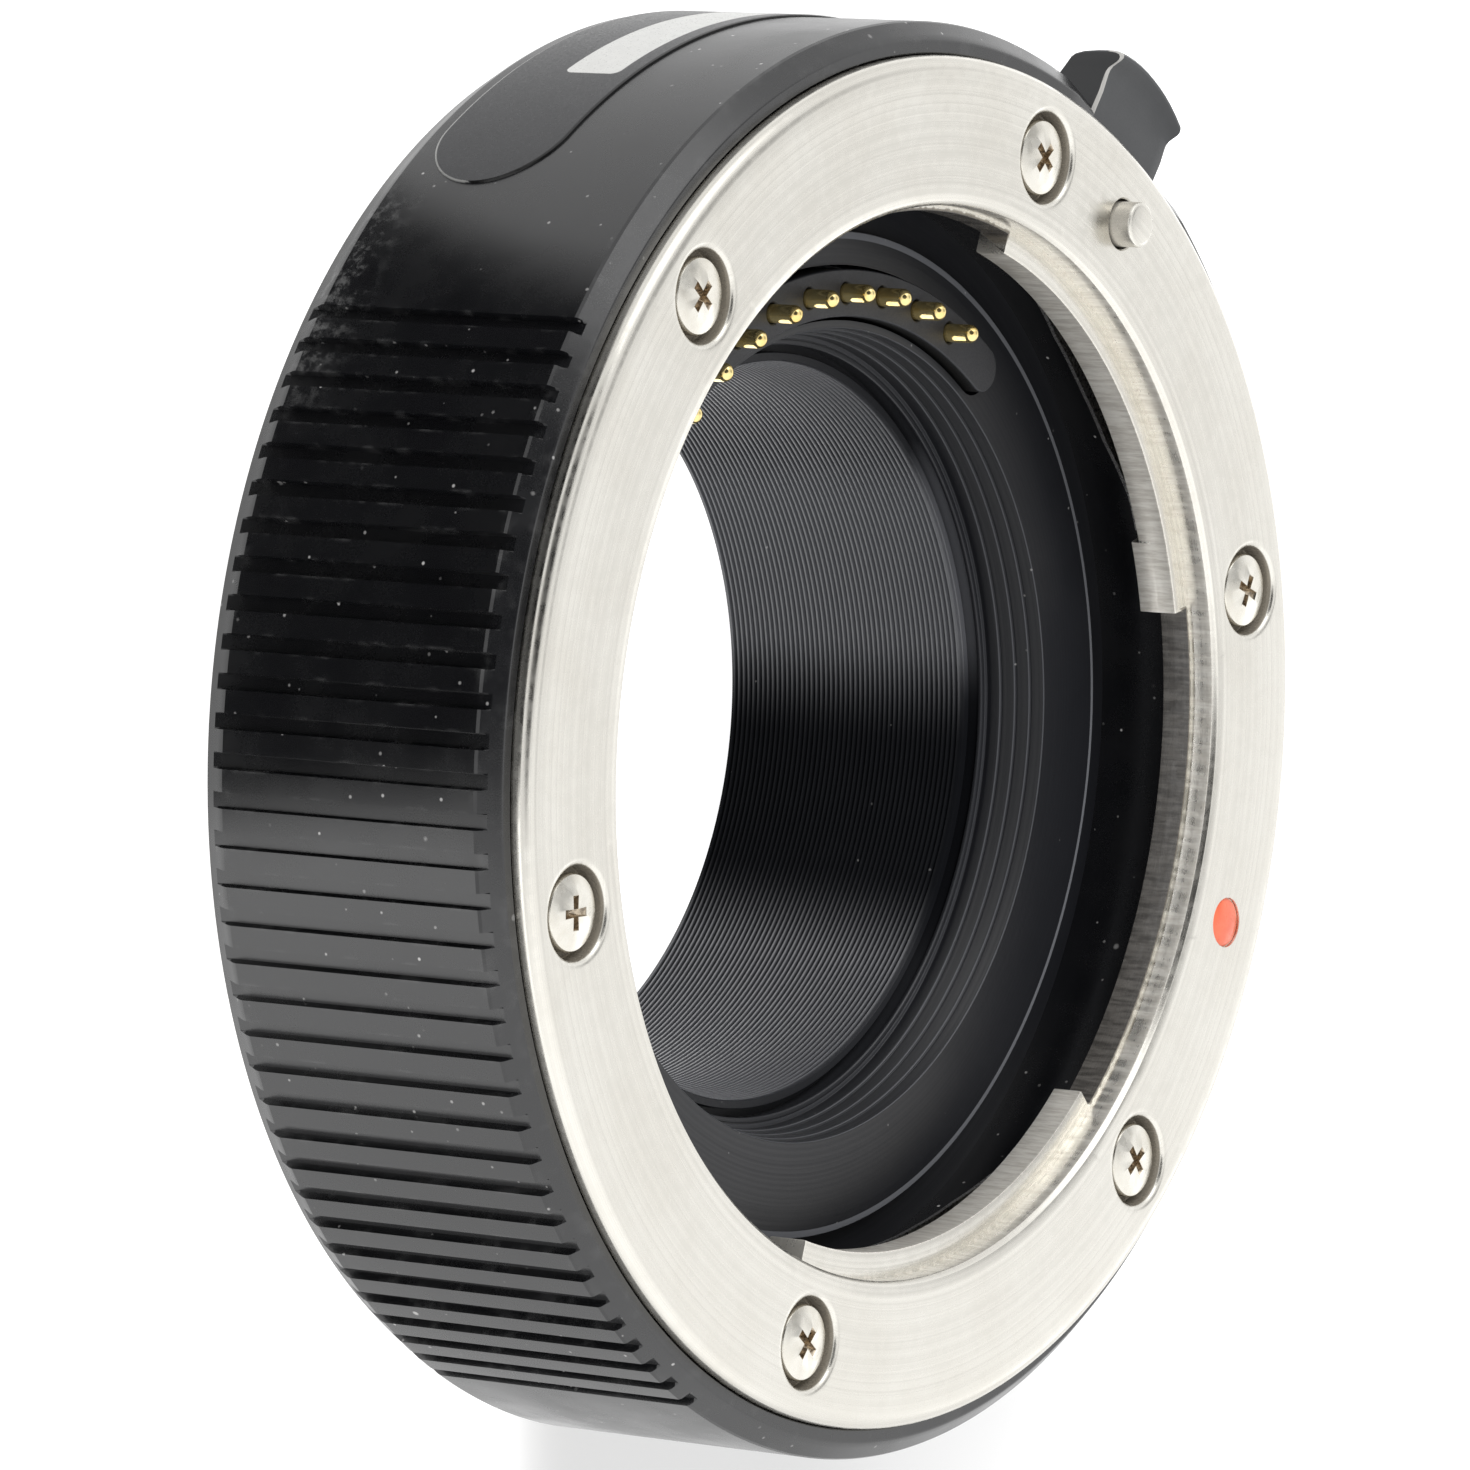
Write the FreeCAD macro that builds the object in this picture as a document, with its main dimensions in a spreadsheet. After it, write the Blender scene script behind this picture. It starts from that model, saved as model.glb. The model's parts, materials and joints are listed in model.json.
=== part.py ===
import FreeCAD
import Part
import Sketcher
import math
import os
import re

V = FreeCAD.Vector
doc = FreeCAD.newDocument("extension_tube")

# Driving sizes in millimetres and degrees, heights from the rear end, drops from the front face
SIZES = [
    ("total_height", 21.3),
    ("flange_gap", 16.0),
    # barrel
    ("barrel_radius", 31.0),
    ("wall_thick", 2.0),
    ("rim_width", 1.38),
    ("front_bevel_drop", 1.6),
    ("front_bevel_width", 0.8),
    ("front_rim_drop", 0.8),
    ("rear_rim_width", 1.45),
    ("rear_bevel_rise", 1.4),
    ("rear_bevel_width", 0.7),
    ("rear_rim_rise", 0.15),
    ("seat_clear", 0.05),
    ("shelf_step", 1.0),
    ("shelf_web", 1.0),
    ("rear_shelf_back", 1.4),
    ("rear_shelf_thick", 2.2),
    # grip grooves
    ("groove_pitch", 3.05),
    ("groove_width", 0.62),
    ("groove_depth", 0.36),
    ("groove_count", 33),
    ("groove_centre", 180.0),
    ("far_groove_count", 23),
    ("far_groove_start", -48.8),
    # front bayonet ring
    ("ring_thick", 2.6),
    ("ring_bevel_width", 0.65),
    ("ring_bevel_drop", 0.5),
    ("face_width", 6.2),
    ("face_bevel", 0.22),
    ("ledge_drop", 1.25),
    ("ledge_width", 0.25),
    ("lug_count", 3),
    ("lug_depth", 0.9),
    ("lug_span", 60.0),
    ("lug_turn", 30.0),
    ("lug_thick", 1.45),
    ("lug_stop_span", 8.5),
    ("lug_stop_thick", 0.4),
    # front screws
    ("screw_inset", 3.17),
    ("screw_count", 6),
    ("head_radius", 1.58),
    ("head_height", 0.85),
    ("head_drop", 0.2),
    ("sink_radius", 2.0),
    ("shank_radius", 0.8),
    ("shank_length", 4.4),
    ("shank_clear", 0.04),
    ("pass_clear", 0.15),
    ("tip_clear", 0.2),
    ("cross_length", 1.7),
    ("cross_width", 0.38),
    ("cross_depth", 0.45),
    # lock pin and release lever
    ("lock_angle", 45.0),
    ("lock_travel", 1.15),
    ("pin_radius", 1.0),
    ("pin_clear", 0.12),
    ("pin_stand", 1.0),
    ("pin_bevel", 0.12),
    ("stem_radius", 0.5),
    ("stem_length", 1.1),
    ("lever_width", 6.1),
    ("lever_clear", 0.2),
    ("lever_gap", 0.15),
    ("arm_thick", 1.2),
    ("arm_back", 1.45),
    ("tab_reach", 2.95),
    ("tab_drop", 1.5),
    ("tab_under", 0.4),
    ("tab_hang", 0.35),
    ("lip_back", 1.2),
    ("lip_foot", 0.75),
    ("lip_foot_rise", 0.15),
    ("lip_width", 0.35),
    ("lip_rise", 0.55),
    ("tip_round", 0.1),
    ("tip_depth", 2.15),
    ("tip_back_width", 0.5),
    ("tip_back_rise", 0.3),
    ("tip_flat_half", 0.9),
    ("tip_shoulder_half", 2.0),
    ("tip_shoulder_back", 0.15),
    ("tip_corner_back", 0.55),
    ("lock_spring_radius", 0.95),
    ("lock_spring_wire", 0.26),
    ("lock_spring_clear", 0.25),
    ("lock_spring_turns", 4),
    # leaf springs
    ("leaf_inset", 0.2),
    ("leaf_width", 1.0),
    ("leaf_end_gap", 0.4),
    ("leaf_foot", 1.6),
    ("leaf_knee_half", 3.2),
    ("leaf_knee_bow", 0.5),
    ("leaf_crest_half", 0.4),
    ("leaf_bow", 0.62),
    ("leaf_thick", 0.18),
    # index dots
    ("dot_angle", -33.0),
    ("dot_inset", 3.27),
    ("dot_radius", 1.1),
    ("dot_depth", 0.16),
    ("dot_sink", 0.04),
    ("dot_clear", 0.02),
    ("rear_dot_angle", 27.0),
    ("rear_dot_radius", 0.9),
    ("rear_dot_rise", 3.2),
    ("rear_dot_depth", 0.32),
    ("rear_dot_sink", 0.08),
    # floor ring
    ("floor_rise", 0.9),
    ("floor_gap", 0.13),
    ("floor_bevel", 0.25),
    ("floor_flange_gap", 1.0),
    ("flange_thick", 0.9),
    ("hub_height", 1.2),
    ("hub_step", 0.2),
    ("kidney_wall", 0.35),
    ("step_count", 4),
    ("step_width", 0.12),
    ("step_height", 0.7),
    ("hub_rim_width", 0.46),
    ("hub_rim_thick", 0.2),
    ("floor_screw_inset", 2.0),
    ("floor_screw_count", 3),
    ("floor_screw_angle", 30.0),
    ("floor_shank_length", 3.3),
    # contacts
    ("contact_angle", 90.0),
    ("contact_inset", 2.67),
    ("contact_count", 10),
    ("contact_pitch", 8.4),
    ("contact_radius", 0.41),
    ("contact_flange_width", 0.2),
    ("contact_collar_thick", 0.3),
    ("contact_stand", 1.45),
    ("contact_clear", 0.06),
    ("guide_depth", 1.57),
    ("kidney_half_width", 1.2),
    ("kidney_end_span", 9.7),
    ("kidney_clear", 0.17),
    ("kidney_rise", 0.6),
    ("block_reach", 3.4),
    ("block_flange_thick", 0.8),
    ("block_end_span", 12.0),
    ("board_thick", 0.6),
    ("spring_coil_radius", 0.46),
    ("spring_wire", 0.16),
    ("spring_turns", 3),
    ("small_screw_count", 2),
    ("small_screw_end_span", 8.0),
    ("small_screw_shift", 0.7),
    ("small_head_radius", 0.95),
    ("small_head_height", 0.5),
    ("small_head_clear", 0.1),
    ("small_shank_radius", 0.5),
    ("small_shank_length", 2.5),
    ("small_tap_depth", 1.2),
    ("small_pass_clear", 0.1),
    ("small_cross_length", 1.1),
    ("small_cross_width", 0.26),
    ("small_cross_depth", 0.28),
    # baffle tube
    ("mouth_gap", 0.35),
    ("mouth_gap_depth", 0.6),
    ("mouth_gap_wall", 0.25),
    ("mouth_rim", 0.38),
    ("baffle_taper", 0.4),
    ("baffle_lip", 0.6),
    ("baffle_flange_thick", 1.3),
    ("baffle_rebate", 0.25),
    ("collar_width", 0.4),
    ("collar_height", 1.4),
    ("baffle_rear_gap", 0.1),
    # rear bayonet ring
    ("rear_thick", 1.8),
    ("bayonet_clear", 0.2),
    ("spigot_nose", 0.3),
    ("spigot_wall", 1.5),
    ("spigot_ledge", 0.6),
    ("rear_lug_depth", 1.0),
    ("rear_lug_span", 52.0),
    ("rear_lug_height", 1.2),
    ("rear_lug_thick", 1.2),
    ("rear_screw_count", 4),
    ("rear_screw_angle", 15.0),
    ("rear_shank_length", 2.7),
    ("rear_head_drop", 0.15),
    ("lock_hole_clear", 0.25),
    # rear contact block
    ("rear_block_gap", 0.15),
    ("rear_block_thick", 1.45),
    ("pad_recess_depth", 0.45),
    ("pad_radius", 0.95),
    ("pad_thick", 0.3),
    ("pad_clear", 0.1),
    ("pad_stand", 0.05),
    ("pad_end_span", 8.05),
    ("boss_gap", 0.3),
    ("boss_radius", 1.1),
    ("boss_height", 3.2),
    ("boss_end_wall", 0.4),
    ("rear_small_length", 3.0),
    # flexible ribbon
    ("flex_shift", 0.2),
    ("flex_thick", 0.2),
    ("flex_span", 16.0),
    # label
    ("label_thick", 0.12),
    ("label_length", 28.6),
    ("label_width", 6.3),
    ("label_margin", 0.65),
]

sheet = doc.addObject("Spreadsheet::Sheet", "sizes")
for row, (alias, number) in enumerate(SIZES, 1):
    sheet.set("A%d" % row, alias)
    sheet.set("B%d" % row, str(number))
    sheet.setAlias("B%d" % row, alias)
doc.recompute()
NAMES = {alias for alias, number in SIZES}


def expr(text):
    """Expression text with the sheet's name put in front of every size."""
    return re.sub(r"[a-z_]+", lambda m: "sizes." + m.group(0) if m.group(0) in NAMES else m.group(0), text)


def value(text):
    """Present number of an expression."""
    found = sheet.evalExpression(expr(text))
    return float(getattr(found, "Value", found))


def bind(obj, path, text):
    """Drive one property by an expression."""
    obj.setExpression(path, expr(text))


def drop(text):
    """Height of a level that is given as a drop from the front face."""
    return "total_height - (%s)" % text


# Heights and drops shared by several pieces
FRONT = "total_height"
REAR = "(total_height - flange_gap)"
LUG_LOW = "(ledge_drop + lug_thick)"
ARM_TOP = "(ring_thick + lever_gap)"
ARM_LOW = "(ring_thick + lever_gap + arm_thick)"
ROOM = "(lever_gap + arm_thick + lock_travel + 2 * lever_clear)"
SHELF_DROP = "(ring_thick + %s + shelf_web)" % ROOM
FLOOR_DROP = "(%s - floor_rise)" % SHELF_DROP
BLOCK_TOP = "(%s - kidney_rise)" % FLOOR_DROP
BLOCK_SEAT = "(%s + flange_thick)" % SHELF_DROP
BLOCK_LOW = "(%s + block_flange_thick)" % BLOCK_SEAT
BOARD_LOW = "(%s + board_thick)" % BLOCK_LOW
TIP = "(%s - contact_stand)" % BLOCK_TOP
COLLAR_TOP = "(%s + guide_depth)" % BLOCK_TOP
COLLAR_LOW = "(%s + contact_collar_thick)" % COLLAR_TOP
HUB_DROP = "(%s + hub_height)" % BLOCK_SEAT
RIM_DROP = "(%s - hub_rim_thick)" % HUB_DROP
MOUTH_DROP = "(%s + baffle_rebate)" % HUB_DROP
REAR_BLOCK = "(rear_block_gap + rear_block_thick)"
PAD_PLANE = "(rear_block_gap + pad_recess_depth)"
LABEL_DROP = "(flange_gap - rear_bevel_rise - label_margin - label_width / 2)"

# Radii, each hung on the one outside it by a named width or clearance
INNER_WALL = "(barrel_radius - wall_thick)"
SEAT = "(barrel_radius - rim_width)"
RING = "(%s - seat_clear)" % SEAT
FACE = "(%s - face_width)" % RING
BORE = "(%s - face_bevel)" % FACE
LOWER_BORE = "(%s - ledge_width)" % BORE
LUG_IN = "(%s - lug_depth)" % LOWER_BORE
SHELF = "(%s + shelf_step)" % LOWER_BORE
SCREW_CIRCLE = "(%s - screw_inset)" % RING
DOT_CIRCLE = "(%s - dot_inset)" % RING
ARM_START = "(%s - arm_back)" % SCREW_CIRCLE
TAB_ROOT = "(%s + lever_clear)" % SEAT
REACH = "(barrel_radius + tab_reach)"
LEAF_IN = "(%s + leaf_inset)" % LUG_IN
LEAF_OUT = "(%s + leaf_width)" % LEAF_IN
LEAF_HALF = "(%s * sin(lug_span / 2 - lug_stop_span) - leaf_end_gap)" % LUG_IN
FLOOR_OUT = "(%s - floor_gap)" % LUG_IN
FLOOR_FLANGE = "(%s - floor_flange_gap)" % INNER_WALL
FLOOR_SCREWS = "(%s - floor_screw_inset)" % FLOOR_FLANGE
CONTACTS = "(%s - contact_inset)" % FLOOR_OUT
CONTACT_FLANGE = "(contact_radius + contact_flange_width)"
KIDNEY_IN = "(%s - kidney_half_width)" % CONTACTS
KIDNEY_OUT = "(%s + kidney_half_width)" % CONTACTS
STEP_IN = "(%s - kidney_wall - step_width * (step_count - 1))" % KIDNEY_IN
HUB = "(%s - hub_step)" % KIDNEY_IN
SMALL_SCREWS = "(%s + small_screw_shift)" % CONTACTS
BLOCK_IN = "(%s + kidney_clear)" % KIDNEY_IN
BLOCK_OUT = "(%s + block_reach)" % CONTACTS
FLEX_IN = "(%s - flex_shift)" % CONTACTS
BAFFLE_OUT = "(%s - baffle_lip)" % HUB
HUB_RIM = "(%s - hub_rim_width)" % STEP_IN
MOUTH_OUT = "(%s - mouth_gap)" % HUB_RIM
GAP_OUT = "(%s - mouth_gap_wall)" % BAFFLE_OUT
BAFFLE_IN = "(%s - mouth_rim)" % MOUTH_OUT
BAFFLE_REAR = "(%s - baffle_taper)" % BAFFLE_IN
COLLAR = "(%s + collar_width)" % BAFFLE_OUT
BOSS_CIRCLE = "(%s + boss_gap + boss_radius)" % COLLAR
REAR_SEAT = "(barrel_radius - rear_rim_width)"
REAR_RING = "(%s - seat_clear)" % REAR_SEAT
REAR_SHELF = "(%s - rear_shelf_back)" % SCREW_CIRCLE
SPIGOT = "(%s - bayonet_clear)" % LUG_IN
NOSE = "(%s - spigot_nose)" % SPIGOT
REAR_LUG = "(%s + rear_lug_depth)" % SPIGOT
BORE_LOW = "(%s - spigot_wall)" % SPIGOT
BORE_HIGH = "(%s - spigot_ledge)" % BORE_LOW
FIRST_CONTACT = "(contact_angle - contact_pitch * (contact_count - 1) / 2)"
CONTACT_SPAN = "(contact_pitch * (contact_count - 1))"
KIDNEY_HALF = "(%s / 2 + kidney_end_span)" % CONTACT_SPAN
BLOCK_SPAN = "(2 * (%s + block_end_span))" % KIDNEY_HALF
SMALL_SPAN = "(2 * (%s + small_screw_end_span))" % KIDNEY_HALF
SMALL_FIRST = "(contact_angle - %s / 2)" % SMALL_SPAN

nodes = {}


def origin(body, role):
    """Origin plane or axis of a body."""
    return [f for f in body.Origin.OriginFeatures if f.Role == role][0]


def new_body(label, group=False):
    """Empty body for one node; a group keeps its solids apart."""
    body = doc.addObject("PartDesign::Body", label)
    body.Label = label
    body.AllowCompound = group
    nodes[label] = body
    return body


def new_sketch(body, plane, height=None, turn=None):
    """Sketch on an origin plane, raised along its normal or turned about the tube's axis."""
    sketch = body.newObject("Sketcher::SketchObject", body.Label + "_sketch")
    sketch.AttachmentSupport = (origin(body, plane), "")
    sketch.MapMode = "FlatFace"
    axis = V(0, 0, 1) if plane == "XY_Plane" else V(0, 1, 0)
    if turn is not None:
        sketch.AttachmentOffset = FreeCAD.Placement(V(0, 0, 0), FreeCAD.Rotation(axis, 1.0))
        bind(sketch, "AttachmentOffset.Rotation.Angle", turn)
    if height is not None and plane == "YZ_Plane" and turn is not None:
        bind(sketch, "AttachmentOffset.Base.x", "(%s) * sin(%s)" % (height, turn))
        bind(sketch, "AttachmentOffset.Base.z", "(%s) * cos(%s)" % (height, turn))
    elif height is not None:
        bind(sketch, "AttachmentOffset.Base.z", height)
    return sketch


def pin_point(sketch, geo, pos, across, up):
    """Tie one point of a sketch to two expressions."""
    for kind, axis, text in (("DistanceX", -2, across), ("DistanceY", -1, up)):
        if text == "0":
            sketch.addConstraint(Sketcher.Constraint("PointOnObject", geo, pos, axis))
        else:
            index = sketch.addConstraint(Sketcher.Constraint(kind, -1, 1, geo, pos, value(text)))
            bind(sketch, "Constraints[%d]" % index, text)


def outline(sketch, points):
    """Closed outline through points given as pairs of expressions."""
    first = sketch.GeometryCount
    spots = [V(value(a), value(b), 0) for a, b in points]
    count = len(points)
    for i in range(count):
        sketch.addGeometry(Part.LineSegment(spots[i], spots[(i + 1) % count]))
    for i in range(count):
        sketch.addConstraint(Sketcher.Constraint("Coincident", first + i, 2, first + (i + 1) % count, 1))
    for i, (across, up) in enumerate(points):
        pin_point(sketch, first + i, 1, across, up)


def round_hole(sketch, across, up, radius):
    """Circle with its centre and radius driven by expressions."""
    geo = sketch.addGeometry(Part.Circle(V(value(across), value(up), 0), V(0, 0, 1), value(radius)))
    pin_point(sketch, geo, 3, across, up)
    index = sketch.addConstraint(Sketcher.Constraint("Radius", geo, value(radius)))
    bind(sketch, "Constraints[%d]" % index, radius)


def polar(circle, angle):
    """Centre of a hole on a circle about the axis, as two expressions."""
    return "%s * cos(%s)" % (circle, angle), "%s * sin(%s)" % (circle, angle)


def box(sketch, low, high, left, right):
    """Rectangle from four expressions."""
    outline(sketch, [(low, left), (high, left), (high, right), (low, right)])


def spin(body, sketch, angle=None, cut=False):
    """Turn an outline about the tube's axis, all round or over an angle centred on the sketch."""
    kind = "PartDesign::Groove" if cut else "PartDesign::Revolution"
    made = body.newObject(kind, body.Label + "_turn")
    made.Profile = sketch
    made.ReferenceAxis = (sketch, ["V_Axis"])
    made.Angle = 360.0
    if angle is not None:
        made.Midplane = True
        bind(made, "Angle", angle)
    doc.recompute()
    return made


def pad(body, sketch, length, midplane=False):
    """Raise an outline along its plane's normal."""
    made = body.newObject("PartDesign::Pad", body.Label + "_pad")
    made.Profile = sketch
    made.Midplane = midplane
    bind(made, "Length", length)
    doc.recompute()
    return made


def pocket(body, sketch, depth, upward=True):
    """Cut an outline to a depth, away from the plane along its normal unless turned round."""
    made = body.newObject("PartDesign::Pocket", body.Label + "_pocket")
    made.Profile = sketch
    made.Reversed = upward
    bind(made, "Length", depth)
    doc.recompute()
    return made


def around(body, features, count, span=None):
    """Repeat features about the tube's axis, evenly or over a span of degrees."""
    made = body.newObject("PartDesign::PolarPattern", body.Label + "_pattern")
    made.Originals = features
    made.Axis = (origin(body, "Z_Axis"), [""])
    made.Angle = 360.0
    if span is not None:
        bind(made, "Angle", span)
    bind(made, "Occurrences", count)
    body.Tip = made
    doc.recompute()
    return made


def turned(label, points):
    """Body made by turning one outline of radius and height."""
    body = new_body(label)
    sketch = new_sketch(body, "XZ_Plane")
    outline(sketch, points)
    spin(body, sketch)
    return body


def holes(body, height, depth, circle, angle, radius, upward=True):
    """Single round hole on a circle about the axis."""
    sketch = new_sketch(body, "XY_Plane", height)
    round_hole(sketch, *polar(circle, angle), radius)
    return pocket(body, sketch, depth, upward)


def turn_to(body, angle):
    """Turn a finished body about the tube's axis."""
    body.Placement = FreeCAD.Placement(V(0, 0, 0), FreeCAD.Rotation(V(0, 0, 1), 1.0))
    bind(body, "Placement.Rotation.Angle", angle)


def move_to(body, spot):
    """Shift a finished body from the tube's axis to a spot given as two expressions."""
    for axis, text in zip("xy", spot):
        bind(body, "Placement.Base." + axis, text)


def screws(label, circle, angle, count, span, seat, head, shank, upward, cross):
    """Group of cross-recess screws: heads on a seat level, shanks away from it."""
    body = new_body(label, group=True)
    head_radius, head_height = head
    shank_radius, shank_length = shank
    sketch = new_sketch(body, "XY_Plane", seat, angle)
    round_hole(sketch, circle, "0", head_radius)
    head_pad = pad(body, sketch, head_height)
    head_pad.Reversed = not upward
    sketch = new_sketch(body, "XY_Plane", seat, angle)
    round_hole(sketch, circle, "0", shank_radius)
    shank_pad = pad(body, sketch, shank_length)
    shank_pad.Reversed = upward
    doc.recompute()
    top = "%s %s %s" % (seat, "+" if upward else "-", head_height)
    length, width, depth = cross
    sketch = new_sketch(body, "XY_Plane", top, angle)
    far = "(%s) / 2" % length
    near = "(%s) / 2" % width
    spots = [(far, near), (near, near), (near, far), ("-" + near, far), ("-" + near, near), ("-" + far, near),
             ("-" + far, "-" + near), ("-" + near, "-" + near), ("-" + near, "-" + far), (near, "-" + far),
             (near, "-" + near), (far, "-" + near)]
    outline(sketch, [("%s + %s" % (circle, a), b) for a, b in spots])
    recess = pocket(body, sketch, depth, upward=not upward)
    around(body, [head_pad, shank_pad, recess], count, span)
    return body


def coil(label, centre, radius, wire, turns, low, high, sides=6):
    """Coil spring as a square wire swept along straight steps of a helix, closed ends left plain."""
    half = value(wire) / 2
    start = value(low) + half
    rise = value(high) - value(low) - 2 * half
    mean = value(radius)
    steps = int(value(turns)) * sides
    spots = []
    for i in range(steps + 1):
        turn = 2 * math.pi * i / sides
        spots.append(V(mean * math.cos(turn), mean * math.sin(turn), start + rise * i / steps))
    way = (spots[1] - spots[0]).normalize()
    out = V(spots[0].x, spots[0].y, 0).normalize()
    out = (out - way * out.dot(way)).normalize()
    side = way.cross(out)
    signs = ((1, 1), (-1, 1), (-1, -1), (1, -1))
    corners = [spots[0] + out * (half * a) + side * (half * b) for a, b in signs]
    shell = Part.BRepOffsetAPI.MakePipeShell(Part.makePolygon(spots))
    shell.setTransitionMode(1)
    shell.add(Part.makePolygon(corners + corners[:1]))
    shell.build()
    shell.makeSolid()
    made = doc.addObject("Part::Feature", label)
    made.Label = label
    made.Shape = shell.shape()
    made.Placement = FreeCAD.Placement(V(value(centre[0]), value(centre[1]), 0), FreeCAD.Rotation())
    bind(made, "Placement.Base.x", centre[0])
    bind(made, "Placement.Base.y", centre[1])
    nodes[label] = made
    return made


# Barrel: bevelled shell with a front shelf and a rear shelf
barrel = turned("barrel", [
    (SEAT, drop("front_rim_drop")),
    (SEAT, drop("ring_thick")),
    (SHELF, drop("ring_thick")),
    (SHELF, drop(SHELF_DROP)),
    (INNER_WALL, drop(SHELF_DROP)),
    (INNER_WALL, REAR + " + rear_thick + rear_shelf_thick"),
    (REAR_SHELF, REAR + " + rear_thick + rear_shelf_thick"),
    (REAR_SHELF, REAR + " + rear_thick"),
    (REAR_SEAT, REAR + " + rear_thick"),
    (REAR_SEAT, REAR + " + rear_rim_rise"),
    ("barrel_radius - rear_bevel_width", REAR + " + rear_rim_rise"),
    ("barrel_radius", REAR + " + rear_bevel_rise"),
    ("barrel_radius", drop("front_bevel_drop")),
    ("barrel_radius - front_bevel_width", drop("front_rim_drop")),
])

# Tapped holes for the front, rear and floor ring screws
sketch = new_sketch(barrel, "XY_Plane", drop("ring_thick"))
round_hole(sketch, SCREW_CIRCLE, "0", "shank_radius + shank_clear")
tap_depth = "shank_length - ring_thick + head_drop + head_height + tip_clear"
hole = pocket(barrel, sketch, tap_depth, upward=False)
around(barrel, [hole], "screw_count")
sketch = new_sketch(barrel, "XY_Plane", REAR + " + rear_thick", "rear_screw_angle")
round_hole(sketch, SCREW_CIRCLE, "0", "shank_radius + shank_clear")
hole = pocket(barrel, sketch, "rear_shelf_thick")
around(barrel, [hole], "rear_screw_count")
sketch = new_sketch(barrel, "XY_Plane", drop(SHELF_DROP), "floor_screw_angle")
round_hole(sketch, FLOOR_SCREWS, "0", "shank_radius + shank_clear")
hole = pocket(barrel, sketch, "floor_shank_length - flange_thick + tip_clear")
around(barrel, [hole], "floor_screw_count")

# Room for the lever: pocket under the ring, notch through the rim, hole for the spring
half_room = "(lever_width / 2 + lever_clear)"
sketch = new_sketch(barrel, "XY_Plane", drop("ring_thick"), "lock_angle")
box(sketch, ARM_START + " - lever_clear", REACH, "-" + half_room, half_room)
pocket(barrel, sketch, ROOM, upward=False)
sketch = new_sketch(barrel, "XY_Plane", drop("ring_thick"), "lock_angle")
box(sketch, INNER_WALL, REACH, "-" + half_room, half_room)
pocket(barrel, sketch, "ring_thick", upward=True)
sketch = new_sketch(barrel, "XY_Plane", drop(SHELF_DROP), "lock_angle")
round_hole(sketch, SCREW_CIRCLE, "0", "lock_spring_radius + lock_spring_wire / 2 + lock_spring_clear")
pocket(barrel, sketch, SHELF_DROP + " - ring_thick")

# Dimple for the rear index dot
sketch = new_sketch(barrel, "YZ_Plane", "barrel_radius - rear_dot_depth", "rear_dot_angle")
round_hole(sketch, "0", REAR + " + rear_dot_rise", "rear_dot_radius + dot_clear")
pocket(barrel, sketch, "rear_dot_radius")

# Grip grooves on both sides, run out through both bevels
for first, count in (("groove_centre - groove_pitch * (groove_count - 1) / 2", "groove_count"),
                     ("far_groove_start", "far_groove_count")):
    sketch = new_sketch(barrel, "XY_Plane", None, first)
    inner = "barrel_radius - groove_depth"
    box(sketch, inner, "barrel_radius + groove_depth", "-groove_width / 2", "groove_width / 2")
    groove = pocket(barrel, sketch, FRONT)
    around(barrel, [groove], count, "groove_pitch * (%s - 1)" % count)

# Front bayonet ring
front_ring = turned("front_mount_ring", [
    (BORE, drop("face_bevel")),
    (FACE, FRONT),
    (RING + " - ring_bevel_width", FRONT),
    (RING, drop("ring_bevel_drop")),
    (RING, drop("ring_thick")),
    (LOWER_BORE, drop("ring_thick")),
    (LOWER_BORE, drop("ledge_drop")),
    (BORE, drop("ledge_drop")),
])
sketch = new_sketch(front_ring, "XZ_Plane", None, "lug_turn")
box(sketch, LUG_IN, BORE, drop(LUG_LOW), drop("ledge_drop"))
lug = spin(front_ring, sketch, "lug_span")
sketch = new_sketch(front_ring, "XZ_Plane", None, "lug_turn - lug_span / 2 + lug_stop_span / 2")
box(sketch, LUG_IN, LOWER_BORE, drop(LUG_LOW + " + lug_stop_thick"), drop("ledge_drop"))
stop = spin(front_ring, sketch, "lug_stop_span")
around(front_ring, [lug, stop], "lug_count")
sketch = new_sketch(front_ring, "XY_Plane", FRONT)
round_hole(sketch, SCREW_CIRCLE, "0", "sink_radius")
sink = pocket(front_ring, sketch, "head_drop + head_height", upward=False)
sketch = new_sketch(front_ring, "XY_Plane", FRONT)
round_hole(sketch, SCREW_CIRCLE, "0", "shank_radius + pass_clear")
hole = pocket(front_ring, sketch, "ring_thick", upward=False)
around(front_ring, [sink, hole], "screw_count")
holes(front_ring, FRONT, "ring_thick", SCREW_CIRCLE, "lock_angle", "pin_radius + pin_clear", False)
holes(front_ring, FRONT, "dot_depth", DOT_CIRCLE, "dot_angle", "dot_radius + dot_clear", False)

# Front index dot, a little below the face
dot = new_body("front_index_dot")
sketch = new_sketch(dot, "XY_Plane", drop("dot_depth"))
round_hole(sketch, *polar(DOT_CIRCLE, "dot_angle"), "dot_radius")
pad(dot, sketch, "dot_depth - dot_sink")

# Rear index dot on the side of the barrel
dot = new_body("rear_index_dot")
sketch = new_sketch(dot, "YZ_Plane", "barrel_radius - rear_dot_depth")
round_hole(sketch, "0", REAR + " + rear_dot_rise", "rear_dot_radius")
pad(dot, sketch, "rear_dot_depth - rear_dot_sink")
turn_to(dot, "rear_dot_angle")

# Screws of the front ring
cross = ("cross_length", "cross_width", "cross_depth")
small_cross = ("small_cross_length", "small_cross_width", "small_cross_depth")
screws("front_mount_screws", SCREW_CIRCLE, "0", "screw_count", None, drop("head_drop + head_height"),
       ("head_radius", "head_height"), ("shank_radius", "shank_length"), True, cross)

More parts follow.
